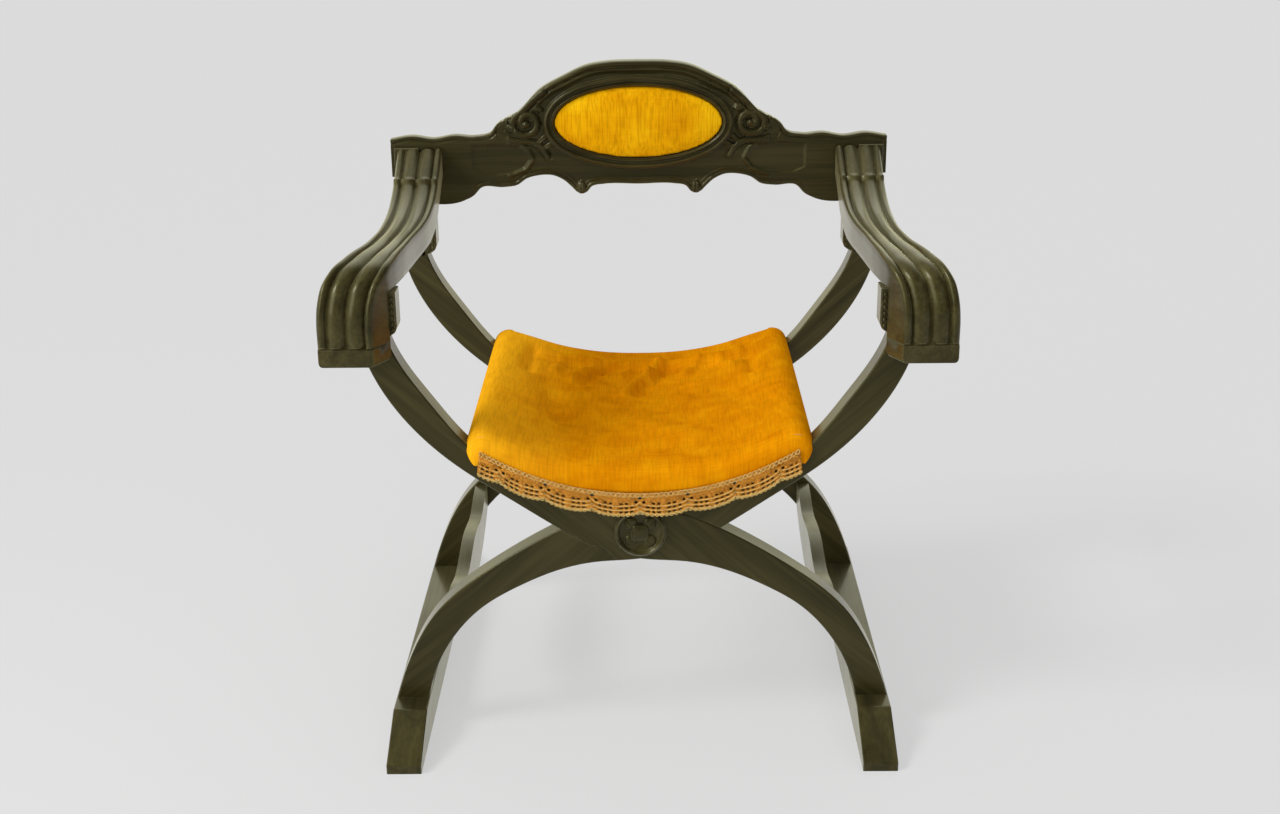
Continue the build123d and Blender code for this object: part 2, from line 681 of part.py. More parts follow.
def make_crest():
    oval_spot = (0, oval_centre)
    with BuildPart() as crest:
        for side in sides.values():
            with BuildSketch(facing_front(crest_back)):
                add(draw_crest_half(side))
                make_face()
            extrude(amount=crest_thick)
        with BuildSketch(facing_front(crest_front + field_drop)):
            for side in sides.values():
                with BuildLine():
                    Polyline([(side * x, z) for x, z in field_points], close=True)
                make_face()
        extrude(amount=field_drop, mode=Mode.SUBTRACT)
        with BuildSketch(facing_front(crest_back)):
            with Locations(oval_spot):
                Ellipse(oval_half_long, oval_half_high)
        extrude(amount=crest_thick, mode=Mode.SUBTRACT)
        with BuildSketch(facing_front(crest_back)):
            with Locations(oval_spot):
                Ellipse(board_half_long, board_half_high)
        extrude(amount=board_thick, mode=Mode.SUBTRACT)
        for plane in board_screw_planes():
            with Locations(plane):
                Cylinder(board_screw_radius, board_screw_length, align=downwards, mode=Mode.SUBTRACT)
    save(crest, "crest_rail")

    with BuildPart() as moulding:
        with BuildSketch(facing_front(crest_front)):
            with Locations(oval_spot):
                Ellipse(oval_half_long + ring_width, oval_half_high + ring_width)
                Ellipse(oval_half_long, oval_half_high, mode=Mode.SUBTRACT)
        extrude(amount=ring_proud)
        fillet(moulding.faces().sort_by(Axis.Y)[0].edges(), ring_proud / 3)
    save(moulding, "oval_moulding")

    with BuildPart() as board:
        with BuildSketch(facing_front(crest_back)):
            with Locations(oval_spot):
                Ellipse(board_half_long - board_gap, board_half_high - board_gap)
        extrude(amount=board_thick)
        for plane in board_screw_planes():
            with Locations(plane):
                CounterSinkHole(board_screw_radius, board_screw_head, board_thick)
    save(board, "back_pad_board")

    pad_back = crest_back - board_thick
    pad_front = crest_front - pad_proud
    with BuildPart() as pad:
        with BuildSketch(facing_front(pad_back)):
            with Locations(oval_spot):
                Ellipse(pad_half_long, pad_half_high)
        extrude(amount=pad_back - pad_front)
        fillet(pad.faces().sort_by(Axis.Y)[0].edges(), pad_side_round)
    save(pad, "back_pad")

    with BuildPart() as screws:
        for plane in board_screw_planes():
            with Locations(plane):
                Cylinder(board_screw_radius, board_screw_length, align=downwards)
                Cone(board_screw_radius, board_screw_head, board_screw_head - board_screw_radius,
                     align=downwards)
    save(screws, "back_board_screws")


def board_screw_planes():
    """Screws round the edge of the backing board, looking to the rear."""
    long = oval_half_long + board_margin / 2
    high = oval_half_high + board_margin / 2
    turns = [2 * pi * (k + 0.5) / board_screw_count for k in range(board_screw_count)]
    return [Plane((long * cos(t), crest_back, oval_centre + high * sin(t)), z_dir=(0, 1, 0)) for t in turns]


def make_screws(name, planes, length):
    with BuildPart() as screws:
        for plane in planes:
            screw(plane, length)
    save(screws, name)


for side_name, side in sides.items():
    other = "left" if side > 0 else "right"
    screw_rows = [outward * (half_depth - member_thick / 2) for outward in frames.values()]
    for frame_name in frames:
        make_member(side, frame_name, f"{frame_name}_{side_name}_member")
        make_bracket(side, frame_name, f"{frame_name}_{side_name}_bracket")
    make_arm(side, f"{side_name}_arm")
    make_runner(side, f"{side_name}_runner")
    make_stretcher(side, f"{side_name}_lower_stretcher")
    make_seat_rail(side, f"{side_name}_seat_rail")
    make_tacks(side, f"{side_name}_seat_tacks")
    make_screws(f"{side_name}_rail_screws", [rail_screw_plane(side, y) for y in screw_rows],
                rail_screw_length)
    make_screws(f"{side_name}_runner_screws", [runner_screw_plane(side, y) for y in screw_rows],
                runner_screw_length)
    make_screws(f"{side_name}_arm_screw", [arm_screw_plane(side)], arm_screw_length)
for frame_name in frames:
    make_pivot(frame_name)
make_seat()
make_crest()
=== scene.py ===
import math

import bmesh
import bpy
import numpy as np
from mathutils import Matrix
from mathutils.geometry import delaunay_2d_cdt


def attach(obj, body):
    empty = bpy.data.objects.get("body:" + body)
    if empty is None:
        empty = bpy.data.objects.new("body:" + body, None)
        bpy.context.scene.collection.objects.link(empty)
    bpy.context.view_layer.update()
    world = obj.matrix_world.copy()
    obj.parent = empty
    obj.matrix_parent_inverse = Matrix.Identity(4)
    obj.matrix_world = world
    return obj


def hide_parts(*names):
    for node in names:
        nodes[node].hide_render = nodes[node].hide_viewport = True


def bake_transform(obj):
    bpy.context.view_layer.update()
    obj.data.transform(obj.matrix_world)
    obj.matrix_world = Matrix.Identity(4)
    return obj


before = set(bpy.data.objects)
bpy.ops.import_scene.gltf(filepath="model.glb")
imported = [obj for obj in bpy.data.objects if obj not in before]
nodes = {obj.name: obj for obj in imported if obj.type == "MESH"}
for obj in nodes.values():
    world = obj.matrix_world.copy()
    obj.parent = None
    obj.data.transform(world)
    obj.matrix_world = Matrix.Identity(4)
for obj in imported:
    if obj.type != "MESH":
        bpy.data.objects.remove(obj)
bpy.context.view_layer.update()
sides = {"left": -1, "right": 1}
leafOf = {"left": "left_leaf", "right": "right_leaf"}
mm = 0.001


# ---- camera, light and floor ----

studio = {
    "cameraPlace": (0.0131, -1.9597, 1.0481), "yaw": -0.391, "pitch": 19.776, "roll": -0.582, "lens": 46.41,
    "worldLight": 0.50, "backGlow": 0.95, "frontGlow": 0.10, "glowTint": (1.0, 0.98, 0.68),
          "glowWay": (-1.2, 1.0, 0.0), "glowRange": (-0.45, 0.15),
    "floorColour": (0.22, 0.22, 0.22), "floorGlow": 0.505,
    "windowPlace": (-1.25, -1.15, 1.0), "windowTo": (-0.1, 0.0, 0.35), "windowWatts": 9.0, "windowWide": 0.9,
    "lamps": [("keyLight", (-0.9, -0.35, 0.85), 1.5, 18), ("fillLight", (0.45, -0.9, 0.65), 0.30, 50),
              ("backLight", (0.1, 1.0, 0.9), 0.3, 45)],
}


def setCamera():
    yaw, pitch, roll = (math.radians(studio[k]) for k in ("yaw", "pitch", "roll"))
    ahead = np.array([math.sin(yaw) * math.cos(pitch), math.cos(yaw) * math.cos(pitch), -math.sin(pitch)])
    level = np.array([math.cos(yaw), -math.sin(yaw), 0.0])
    upright = np.cross(level, ahead)
    right = math.cos(roll) * level + math.sin(roll) * upright
    up = -math.sin(roll) * level + math.cos(roll) * upright
    camera = bpy.data.objects.new("camera", bpy.data.cameras.new("camera"))
    bpy.context.scene.collection.objects.link(camera)
    camera.data.lens = studio["lens"]
    camera.data.sensor_width = 36
    turned = Matrix([[right[i], up[i], -ahead[i], studio["cameraPlace"][i]] for i in range(3)]
                    + [[0, 0, 0, 1]])
    camera.matrix_world = turned
    bpy.context.scene.camera = camera
    bpy.context.scene.view_settings.view_transform = "Standard"


def setLights():
    def addLamp(name, kind, place, target, strength):
        lamp = bpy.data.lights.new(name, kind)
        lamp.energy = strength
        obj = bpy.data.objects.new(name, lamp)
        bpy.context.scene.collection.objects.link(obj)
        away = np.subtract(target, place)                    # the way that the light travels
        away /= np.linalg.norm(away)
        side = np.cross(away, (0, 0, 1))
        side /= np.linalg.norm(side)
        above = np.cross(side, away)
        obj.matrix_world = Matrix([[side[i], above[i], -away[i], place[i]] for i in range(3)]
                                  + [[0, 0, 0, 1]])
        return lamp

    for name, place, strength, spread in studio["lamps"]:
        addLamp(name, "SUN", place, (0, 0, 0), strength).angle = math.radians(spread)
    window = addLamp("windowLight", "AREA", studio["windowPlace"], studio["windowTo"], studio["windowWatts"])
    window.size = studio["windowWide"]
    world = bpy.data.worlds.new("studioWorld")
    bpy.context.scene.world = world
    world.use_nodes = True
    tree = world.node_tree
    back = tree.nodes["Background"]
    path = tree.nodes.new("ShaderNodeLightPath")
    place = tree.nodes.new("ShaderNodeTexCoord")
    lean = tree.nodes.new("ShaderNodeVectorMath")
    lean.operation = "DOT_PRODUCT"
    lean.inputs[1].default_value = studio["glowWay"]
    tree.links.new(place.outputs["Generated"], lean.inputs[0])
    glow = tree.nodes.new("ShaderNodeMapRange")          # the room is darker at the front and on the right
    glow.interpolation_type = "SMOOTHSTEP"
    for key, value in (("From Min", studio["glowRange"][0]), ("From Max", studio["glowRange"][1]),
                       ("To Min", studio["frontGlow"]),
                       ("To Max", studio["backGlow"])):
        glow.inputs[key].default_value = value
    tree.links.new(lean.outputs["Value"], glow.inputs["Value"])
    level = tree.nodes.new("ShaderNodeMix")
    level.inputs[2].default_value = studio["worldLight"]
    tree.links.new(path.outputs["Is Glossy Ray"], level.inputs[0])
    tree.links.new(glow.outputs[0], level.inputs[3])
    tree.links.new(level.outputs[0], back.inputs["Strength"])
    tint = tree.nodes.new("ShaderNodeMix")
    tint.data_type = "RGBA"
    tint.inputs[6].default_value = (1, 1, 1, 1)
    tint.inputs[7].default_value = (*studio["glowTint"], 1)
    tree.links.new(path.outputs["Is Glossy Ray"], tint.inputs[0])
    tree.links.new(tint.outputs[2], back.inputs["Color"])


# ---- mesh helpers ----

def makePiece(name, points, faces, material, sharpAngle=35, turnOut=True):
    mesh = bpy.data.meshes.new(name)
    mesh.from_pydata([tuple(map(float, p)) for p in points], [], [tuple(map(int, f)) for f in faces])
    return finishMesh(name, mesh, material, sharpAngle, turnOut)


def finishMesh(name, mesh, material, sharpAngle=35, turnOut=True):
    bm = bmesh.new()
    bm.from_mesh(mesh)
    bmesh.ops.remove_doubles(bm, verts=bm.verts, dist=2e-6)
    if turnOut:
        bmesh.ops.recalc_face_normals(bm, faces=bm.faces)
    limit = math.radians(sharpAngle)
    for face in bm.faces:
        face.smooth = True
    for edge in bm.edges:
        edge.smooth = not (len(edge.link_faces) == 2 and edge.calc_face_angle(0) > limit)
    bm.to_mesh(mesh)
    bm.free()
    obj = bpy.data.objects.new(name, mesh)
    bpy.context.scene.collection.objects.link(obj)
    mesh.materials.clear()
    mesh.materials.append(material)
    return obj


def plainMesh(obj):
    bpy.context.view_layer.update()
    seen = obj.evaluated_get(bpy.context.evaluated_depsgraph_get())
    mesh = bpy.data.meshes.new_from_object(seen)
    obj.modifiers.clear()
    old = obj.data
    obj.data = mesh
    if old.users == 0:
        bpy.data.meshes.remove(old)
    return obj


def smoothRun(points, count):
    p = np.array(points, float)
    s = np.concatenate([[0], np.cumsum(np.linalg.norm(np.diff(p, axis=0), axis=1))])
    step = np.diff(s)[:, None]
    lean = np.diff(p, axis=0) / step
    slope = np.vstack([lean[:1], (lean[:-1] * step[1:] + lean[1:] * step[:-1]) / (step[1:] + step[:-1]),
                       lean[-1:]])
    at = np.linspace(0, s[-1], count) if np.isscalar(count) else np.asarray(count) * s[-1]
    k = np.clip(np.searchsorted(s, at, side="right") - 1, 0, len(p) - 2)
    gap = (s[k + 1] - s[k])[:, None]
    t = ((at - s[k])[:, None]) / gap
    return ((2 * t**3 - 3 * t**2 + 1) * p[k] + (t**3 - 2 * t**2 + t) * gap * slope[k]
            + (-2 * t**3 + 3 * t**2) * p[k + 1] + (t**3 - t**2) * gap * slope[k + 1])


def farFrom(points, line, closed=False):
    a = np.array(line, float)
    b = np.roll(a, -1, axis=0) if closed else a[1:]
    a = a if closed else a[:-1]
    best = np.full(len(points), 1e9)
    for start, end in zip(a, b):
        run = end - start
        t = np.clip(((points - start) @ run) / max(run @ run, 1e-12), 0, 1)
        best = np.minimum(best, np.linalg.norm(points - start - t[:, None] * run, axis=1))
    return best


def insideOf(points, outline):
    hit = np.zeros(len(points), bool)
    for (x1, z1), (x2, z2) in zip(outline, np.roll(outline, -1, axis=0)):
        crosses = (z1 > points[:, 1]) != (z2 > points[:, 1])
        hit ^= crosses & (points[:, 0] < (x2 - x1) * (points[:, 1] - z1) / ((z2 - z1) or 1e-12) + x1)
    return hit


def loft(rings):
    n, m = len(rings), len(rings[0])
    points = np.array(rings).reshape(-1, 3)
    faces = [(i * m + j, i * m + (j + 1) % m, (i + 1) * m + (j + 1) % m, (i + 1) * m + j)
             for i in range(n - 1) for j in range(m)]
    return points, faces, [tuple(range(m)), tuple((n - 1) * m + j for j in range(m))]


def gridFaces(n, m):
    return [(i * m + j, i * m + j + 1, (i + 1) * m + j + 1, (i + 1) * m + j) for i in range(n - 1)
            for j in range(m - 1)]


def alongRun(points):
    steps = np.diff(np.array(points, float), axis=0)
    return np.concatenate([[0], np.cumsum(np.linalg.norm(steps, axis=1))])


def thicken(obj, thick, offset):
    shell = obj.modifiers.new("thickness", "SOLIDIFY")
    shell.thickness = thick * mm
    shell.offset = offset


def smooth(t):
    t = np.clip(t, 0, 1)
    return t * t * (3 - 2 * t)


# ---- finishes ----

def startFinish(name):
    material = bpy.data.materials.new(name)
    material.use_nodes = True
    tree = material.node_tree

    def node(kind, inputs=None, **settings):
        made = tree.nodes.new("ShaderNode" + kind)
        for key, value in settings.items():
            setattr(made, key, value)
        for key, value in (inputs or {}).items():
            if isinstance(value, bpy.types.NodeSocket):
                tree.links.new(value, made.inputs[key])
            else:
                made.inputs[key].default_value = value
        return made

    def ramp(value, stops):
        made = node("ValToRGB", {"Fac": value})
        made.color_ramp.elements.remove(made.color_ramp.elements[1])
        made.color_ramp.elements[0].position = stops[0][0]
        made.color_ramp.elements[0].color = (*stops[0][1], 1)
        for place, colour in stops[1:]:
            made.color_ramp.elements.new(place).color = (*colour, 1)
        return made.outputs["Color"]

    def noise(turn, stretch, detail=3.0, rough=0.5, twist=0.0):
        place = node("TexCoord").outputs["Object"]
        turned = node("Mapping", {"Vector": place, "Rotation": tuple(math.radians(a) for a in turn)})
        grown = node("Mapping", {"Vector": turned.outputs[0], "Scale": stretch})
        return node("TexNoise",
                    {"Vector": grown.outputs[0], "Scale": 1.0, "Detail": detail, "Roughness": rough,
                                 "Distortion": twist}).outputs["Fac"]

    def mixed(share, first, second, kind="MIX"):
        return node("Mix", {0: share, 6: first, 7: second}, data_type="RGBA", blend_type=kind).outputs[2]

    def fitted(value, low, high, least=0.0, most=1.0):
        return node("MapRange", {"Value": value, "From Min": least, "From Max": most, "To Min": low,
                                 "To Max": high}).outputs[0]

    def bumped(height, strength, distance, under=None):
        values = {"Height": height, "Strength": strength, "Distance": distance}
        if under is not None:
            values["Normal"] = under
        return node("Bump", values).outputs[0]

    return material, tree, tree.nodes["Principled BSDF"], node, ramp, noise, mixed, fitted, bumped


walnut = {
    "dark": (0.013, 0.0105, 0.0032), "middle": (0.030, 0.0245, 0.0074), "light": (0.052, 0.044, 0.0155),
    # the lighter edge colour: rubbed wear and painted edge highlight
    "edgeWearAndHighlight": (0.16, 0.14, 0.072), "roughness": (0.34, 0.5), "gloss": 0.3, "lacquer": (0.12, 0.95),
    "lacquerRoughness": 0.16, "lacquerBend": 1.5, "haze": 0.45, "hazeTint": (1.0, 0.96, 0.55),
          "glossTint": (1.0, 0.94, 0.40),
}


def walnutFinish(name, turn, shade=1.0):
    material, tree, shader, node, ramp, noise, mixed, fitted, bumped = startFinish(name)
    broad = noise(turn, (2.2, 46, 46), 4, 0.55, 0.6)
    streak = noise(turn, (9, 260, 260), 3, 0.5)
    pores = noise(turn, (45, 1300, 1300), 2, 0.5)
    scaled = [tuple(c * shade for c in walnut[k]) for k in ("dark", "middle", "light", "edgeWearAndHighlight")]
    colour = ramp(broad, [(0.28, scaled[0]), (0.48, scaled[1]), (0.72, scaled[2])])
    streaks = ramp(streak, [(0.35, (0.62, 0.60, 0.56)), (0.6, (1.08, 1.06, 1.0))])
    colour = mixed(0.8, colour, streaks, "MULTIPLY")
    # rubbed wear and painted highlight: edges found by the Bevel node get the lighter colour in patches
    round_ = node("Bevel", {"Radius": 0.0022}, samples=4).outputs[0]
    flat = node("NewGeometry").outputs["Normal"]
    facing = node("VectorMath", {0: round_, 1: flat}, operation="DOT_PRODUCT").outputs["Value"]
    edge = fitted(facing, 1.0, 0.0, 0.80, 0.985)
    patchy = fitted(noise(turn, (30, 30, 30), 3), 0.0, 1.0, 0.42, 0.62)
    edgeWearAndHighlightMask = node("Math", {0: edge, 1: patchy}, operation="MULTIPLY").outputs[0]
    edgeWearAndHighlightMask = node("Math", {0: edgeWearAndHighlightMask, 1: 0.55}, operation="MULTIPLY").outputs[0]
    colour = mixed(edgeWearAndHighlightMask, colour, (*scaled[3], 1))
    tree.links.new(colour, shader.inputs["Base Color"])
    smudge = noise(turn, (14, 22, 22), 4)
    tree.links.new(fitted(smudge, *walnut["roughness"], 0.3, 0.7), shader.inputs["Roughness"])
    height = bumped(pores, 0.16, 0.0004)
    tree.links.new(bumped(broad, 0.10, 0.0009, height), shader.inputs["Normal"])
    shader.inputs["Specular IOR Level"].default_value = walnut["gloss"]
    shader.inputs["Specular Tint"].default_value = (*walnut["glossTint"], 1)
    slant = node("LayerWeight", {"Blend": 0.35}).outputs["Facing"]
    tree.links.new(fitted(slant, *walnut["lacquer"]), shader.inputs["Coat Weight"])
    shader.inputs["Coat Roughness"].default_value = walnut["lacquerRoughness"]
    shader.inputs["Coat IOR"].default_value = walnut["lacquerBend"]
    shader.inputs["Sheen Weight"].default_value = walnut["haze"]
    shader.inputs["Sheen Roughness"].default_value = 0.3
    shader.inputs["Sheen Tint"].default_value = (*walnut["hazeTint"], 1)
    return material


velvet = {
    "deep": (0.57, 0.170, 0.0006), "main": (0.70, 0.250, 0.0012), "bright": (0.80, 0.335, 0.0025),
    # painted light: the lighter colour laid on the seat velvet towards the left rail
    "sheen": 0.05, "sheenRoughness": 0.35, "sheenTint": (1.0, 0.60, 0.0, 1), "paintedLightColour": (0.95, 0.47, 0.012),
    "paintedLightFrom": -0.085, "paintedLightTo": -0.175, "paintedLightShare": 0.75,
}


def velvetFinish(name, slub, lift=(1, 1, 1), leftPaintedLight=False):
    material, tree, shader, node, ramp, noise, mixed, fitted, bumped = startFinish(name)
    crush = noise((0, 0, 0), (26, 26, 26), 5, 0.6, 0.4)
    # lift brightens a copy of the velvet; for the back pad this is partly painted light
    shades = [tuple(min(c * up, 0.95) for c, up in zip(velvet[k], lift)) for k in ("deep", "main", "bright")]
    colour = ramp(crush, [(0.22, shades[0]), (0.5, shades[1]), (0.8, shades[2])])
    if leftPaintedLight:                                              # painted light: the seat colour is brightened towards the left rail, standing in for light on that slope
        place = node("SeparateXYZ", {0: node("TexCoord").outputs["Object"]}).outputs["X"]
        wander = fitted(noise((0, 0, 0), (9, 9, 9), 3), -0.05, 0.05)
        place = node("Math", {0: place, 1: wander}, operation="ADD").outputs[0]
        share = fitted(place, 0.0, velvet["paintedLightShare"], velvet["paintedLightFrom"], velvet["paintedLightTo"])
        colour = mixed(share, colour, (*velvet["paintedLightColour"], 1))
    across = noise((0, 0, 0), slub[0], 2)
    along = noise((0, 0, 0), slub[1], 2)
    slubs = ramp(across, [(0.36, (0.80, 0.76, 0.7)), (0.55, (1.05, 1.05, 1.05))])
    colour = mixed(slub[2], colour, slubs, "MULTIPLY")
    threads = ramp(along, [(0.34, (0.86, 0.83, 0.8)), (0.55, (1.04, 1.04, 1.04))])
    colour = mixed(slub[3], colour, threads, "MULTIPLY")
    tree.links.new(colour, shader.inputs["Base Color"])
    shader.inputs["Roughness"].default_value = 0.85
    shader.inputs["Specular IOR Level"].default_value = 0.0
    shader.inputs["Sheen Weight"].default_value = velvet["sheen"]
    shader.inputs["Sheen Roughness"].default_value = velvet["sheenRoughness"]
    shader.inputs["Sheen Tint"].default_value = velvet["sheenTint"]
    pile = bumped(noise((0, 0, 0), (1500, 1500, 1500), 2), 0.35, 0.0005)
    tree.links.new(bumped(across, 0.3, 0.0006, pile), shader.inputs["Normal"])
    return material


def canvasFinish():
    material, tree, shader, node, ramp, noise, mixed, fitted, bumped = startFinish("canvas")
    place = node("TexCoord").outputs["Object"]
    bands = [node("TexWave", {"Vector": place, "Scale": 150.0, "Distortion": 1.0, "Detail": 2.0},
                  bands_direction=way).outputs["Fac"] for way in ("X", "Y")]
    weave = node("Math", {0: bands[0], 1: bands[1]}, operation="MULTIPLY").outputs[0]
    colour = ramp(weave, [(0.1, (0.34, 0.27, 0.17)), (0.8, (0.60, 0.51, 0.36))])
    stain = noise((0, 0, 0), (12, 12, 12), 4)
    colour = mixed(0.5, colour, ramp(stain, [(0.35, (0.75, 0.7, 0.6)), (0.6, (1, 1, 1))]), "MULTIPLY")
    tree.links.new(colour, shader.inputs["Base Color"])
    shader.inputs["Roughness"].default_value = 0.92
    tree.links.new(bumped(weave, 0.5, 0.0006), shader.inputs["Normal"])
    return material


def laceFinish(name, shades):
    material, tree, shader, node, ramp, noise, mixed, fitted, bumped = startFinish(name)
    place = node("TexCoord").outputs["Object"]
    twist = node("TexWave", {"Vector": place, "Scale": 260.0, "Distortion": 6.0, "Detail": 3.0,
                             "Detail Scale": 2.0}, bands_direction="DIAGONAL").outputs["Fac"]
    thick = noise((0, 0, 0), (420, 420, 420), 3)
    colour = ramp(twist, [(0.05, shades[0]), (0.5, shades[1]), (0.95, shades[2])])
    colour = mixed(0.6, colour, ramp(thick, [(0.35, (0.55, 0.48, 0.40)), (0.6, (1.1, 1.1, 1.1))]), "MULTIPLY")
    tree.links.new(colour, shader.inputs["Base Color"])
    shader.inputs["Roughness"].default_value = 0.7
    shader.inputs["Specular IOR Level"].default_value = 0.15
    tree.links.new(bumped(twist, 0.6, 0.0005, bumped(thick, 0.5, 0.0005)), shader.inputs["Normal"])
    return material


def metalFinish(name, dull, bright, roughness):
    material, tree, shader, node, ramp, noise, mixed, fitted, bumped = startFinish(name)
    tarnish = noise((0, 0, 0), (160, 160, 160), 4, 0.6)
    tree.links.new(ramp(tarnish, [(0.35, dull), (0.62, bright)]), shader.inputs["Base Color"])
    tree.links.new(fitted(tarnish, roughness + 0.2, roughness, 0.3, 0.7), shader.inputs["Roughness"])
    shader.inputs["Metallic"].default_value = 1.0
    tree.links.new(bumped(noise((0, 0, 0), (900, 900, 900), 2), 0.2, 0.0002), shader.inputs["Normal"])
    return material


def floorFinish():
    material, _, shader, *_ = startFinish("paleFloor")
    shader.inputs["Base Color"].default_value = (*studio["floorColour"], 1)
    shader.inputs["Roughness"].default_value = 0.9
    shader.inputs["Specular IOR Level"].default_value = 0.0
    shader.inputs["Emission Color"].default_value = (1, 1, 1, 1)
    shader.inputs["Emission Strength"].default_value = studio["floorGlow"]
    return material


memberTurn = 41.2       # lean of the members' grain from level
finishes = {
    "riseRight": walnutFinish("walnutRiseRight", (0, memberTurn, 0)),
    "riseLeft": walnutFinish("walnutRiseLeft", (0, -memberTurn, 0)),
    # painted shade: a darker copy of the walnut for the crest rail and oval moulding
    "across": walnutFinish("walnutAcrossPaintedShade", (0, 0, 0), 0.72),
    "deep": walnutFinish("walnutDeep", (0, 0, -90)),
    # painted light: a lighter copy of the walnut for the arms, brackets and beads
    "arm": walnutFinish("walnutArmPaintedLight", (0, 0, -90), 1.15),
    "board": walnutFinish("stainedBoard", (0, 0, 0), 2.2),
    # the seat velvet carries painted light towards the left rail
    "seatVelvet": velvetFinish("seatVelvet", ((500, 34, 34), (34, 500, 34), 0.55, 0.45), leftPaintedLight=True),
    # the back pad velvet is a brightened copy of the seat velvet: partly its own yellower colour, partly
    # painted light for the front-facing pad
    "padVelvetWithPaintedLight": velvetFinish("padVelvetWithPaintedLight", ((480, 480, 22), (30, 30, 420), 0.95, 0.25), (1.20, 1.66, 2.6)),
    "canvas": canvasFinish(),
    "lace": laceFinish("goldLace", [(0.16, 0.045, 0.003), (0.68, 0.25, 0.020), (0.92, 0.43, 0.055)]),
    "cord": laceFinish("goldCord", [(0.46, 0.24, 0.04), (0.84, 0.54, 0.15), (0.93, 0.74, 0.30)]),
    "steel": metalFinish("darkSteel", (0.06, 0.055, 0.05), (0.22, 0.21, 0.20), 0.38),
    "brass": metalFinish("agedBrass", (0.22, 0.13, 0.04), (0.62, 0.43, 0.16), 0.3),
}

print("finishes made")


def finishNodes():
    for name, obj in nodes.items():
        if "member" in name:
            finish = finishes["riseRight" if "right" in name else "riseLeft"]
        elif any(word in name for word in ("screw", "bolt", "washer", "nut")):
            finish = finishes["steel"]
        elif name == "back_pad_board":
            finish = finishes["board"]
        elif "bracket" in name:
            finish = finishes["arm"]
        else:
            finish = finishes["deep"]
        for slot in obj.material_slots:
            slot.material = finish


# ---- Geometry Nodes helpers ----

def startTree(name, inputs):
    tree = bpy.data.node_groups.new(name, "GeometryNodeTree")
    tree.interface.new_socket("Geometry", in_out="INPUT", socket_type="NodeSocketGeometry")
    tree.interface.new_socket("Geometry", in_out="OUTPUT", socket_type="NodeSocketGeometry")
    for label, (kind, value) in inputs.items():
        socket = tree.interface.new_socket(label, in_out="INPUT", socket_type="NodeSocket" + kind)
        if value is not None:
            socket.default_value = value
    start = tree.nodes.new("NodeGroupInput")
    end = tree.nodes.new("NodeGroupOutput")

    def node(kind, links=None, **settings):
        made = tree.nodes.new(kind)
        for key, value in settings.items():
            setattr(made, key, value)
        for key, value in (links or {}).items():
            if isinstance(value, bpy.types.NodeSocket):
                tree.links.new(value, made.inputs[key])
            else:
                made.inputs[key].default_value = value
        return made

    def finish(geometry, material):
        whole = node("GeometryNodeRealizeInstances", {"Geometry": geometry})
        merged = node("GeometryNodeMergeByDistance", {"Geometry": whole.outputs[0], "Distance": 0.00001})
        painted = node("GeometryNodeSetMaterial", {"Geometry": merged.outputs[0]})
        if material is None:
            tree.links.new(start.outputs["Finish"], painted.inputs["Material"])
        else:
            painted.inputs["Material"].default_value = material
        tree.links.new(painted.outputs[0], end.inputs[0])

    return tree, start, node, finish


def runTree(obj, tree, values):
    modifier = obj.modifiers.new(tree.name, "NODES")
    modifier.node_group = tree
    for item in tree.interface.items_tree:
        if item.in_out == "INPUT" and item.name in values:
            modifier[item.identifier] = values[item.name]
    return plainMesh(obj)


# ---- arms ----

arm = {
    "top": [(170, 641), (130, 621), (100, 607), (65, 596), (25, 589), (-30, 586), (-105, 587), (-172, 585.5),
            (-200, 580), (-217, 568), (-228, 546), (-232, 520), (-232, 498)],
    "under": [(170, 603), (130, 583), (100, 569), (62, 557), (22, 552), (-30, 552), (-105, 552), (-172, 552),
              (-197, 552), (-200, 550), (-200, 540), (-200, 519), (-200, 498)],
    "outer": [(-232, 353), (-207, 342), (-188, 335), (-155, 325), (-114, 315.5), (-66, 311), (0, 310),
              (170, 313)],
    "inner": [(-232, 291), (-207, 278), (-180, 272), (-148, 268), (-68, 262), (0, 257), (170, 256)],
    "reeds": [0.0, 0.15, 0.5, 0.85, 1.0], "reedDepth": [3.4, 6.0, 6.0, 3.4], "reedRound": 2.2,
    "plinthLow": 475, "plinthHigh": 496, "stations": 120, "across": 61, "bandAt": 112, "bandWide": 4,
       "bandHigh": 2.2, "footRound": 6,
}


def reedDrop(t):
    drop = np.zeros_like(t)
    for k, depth in enumerate(arm["reedDepth"]):
        low, high = arm["reeds"][k], arm["reeds"][k + 1]
        inside = (t >= low) & (t <= high)
        u = (t - low) / (high - low)
        drop[inside] = (depth * np.abs(2 * u - 1) ** arm["reedRound"])[inside]
    return drop


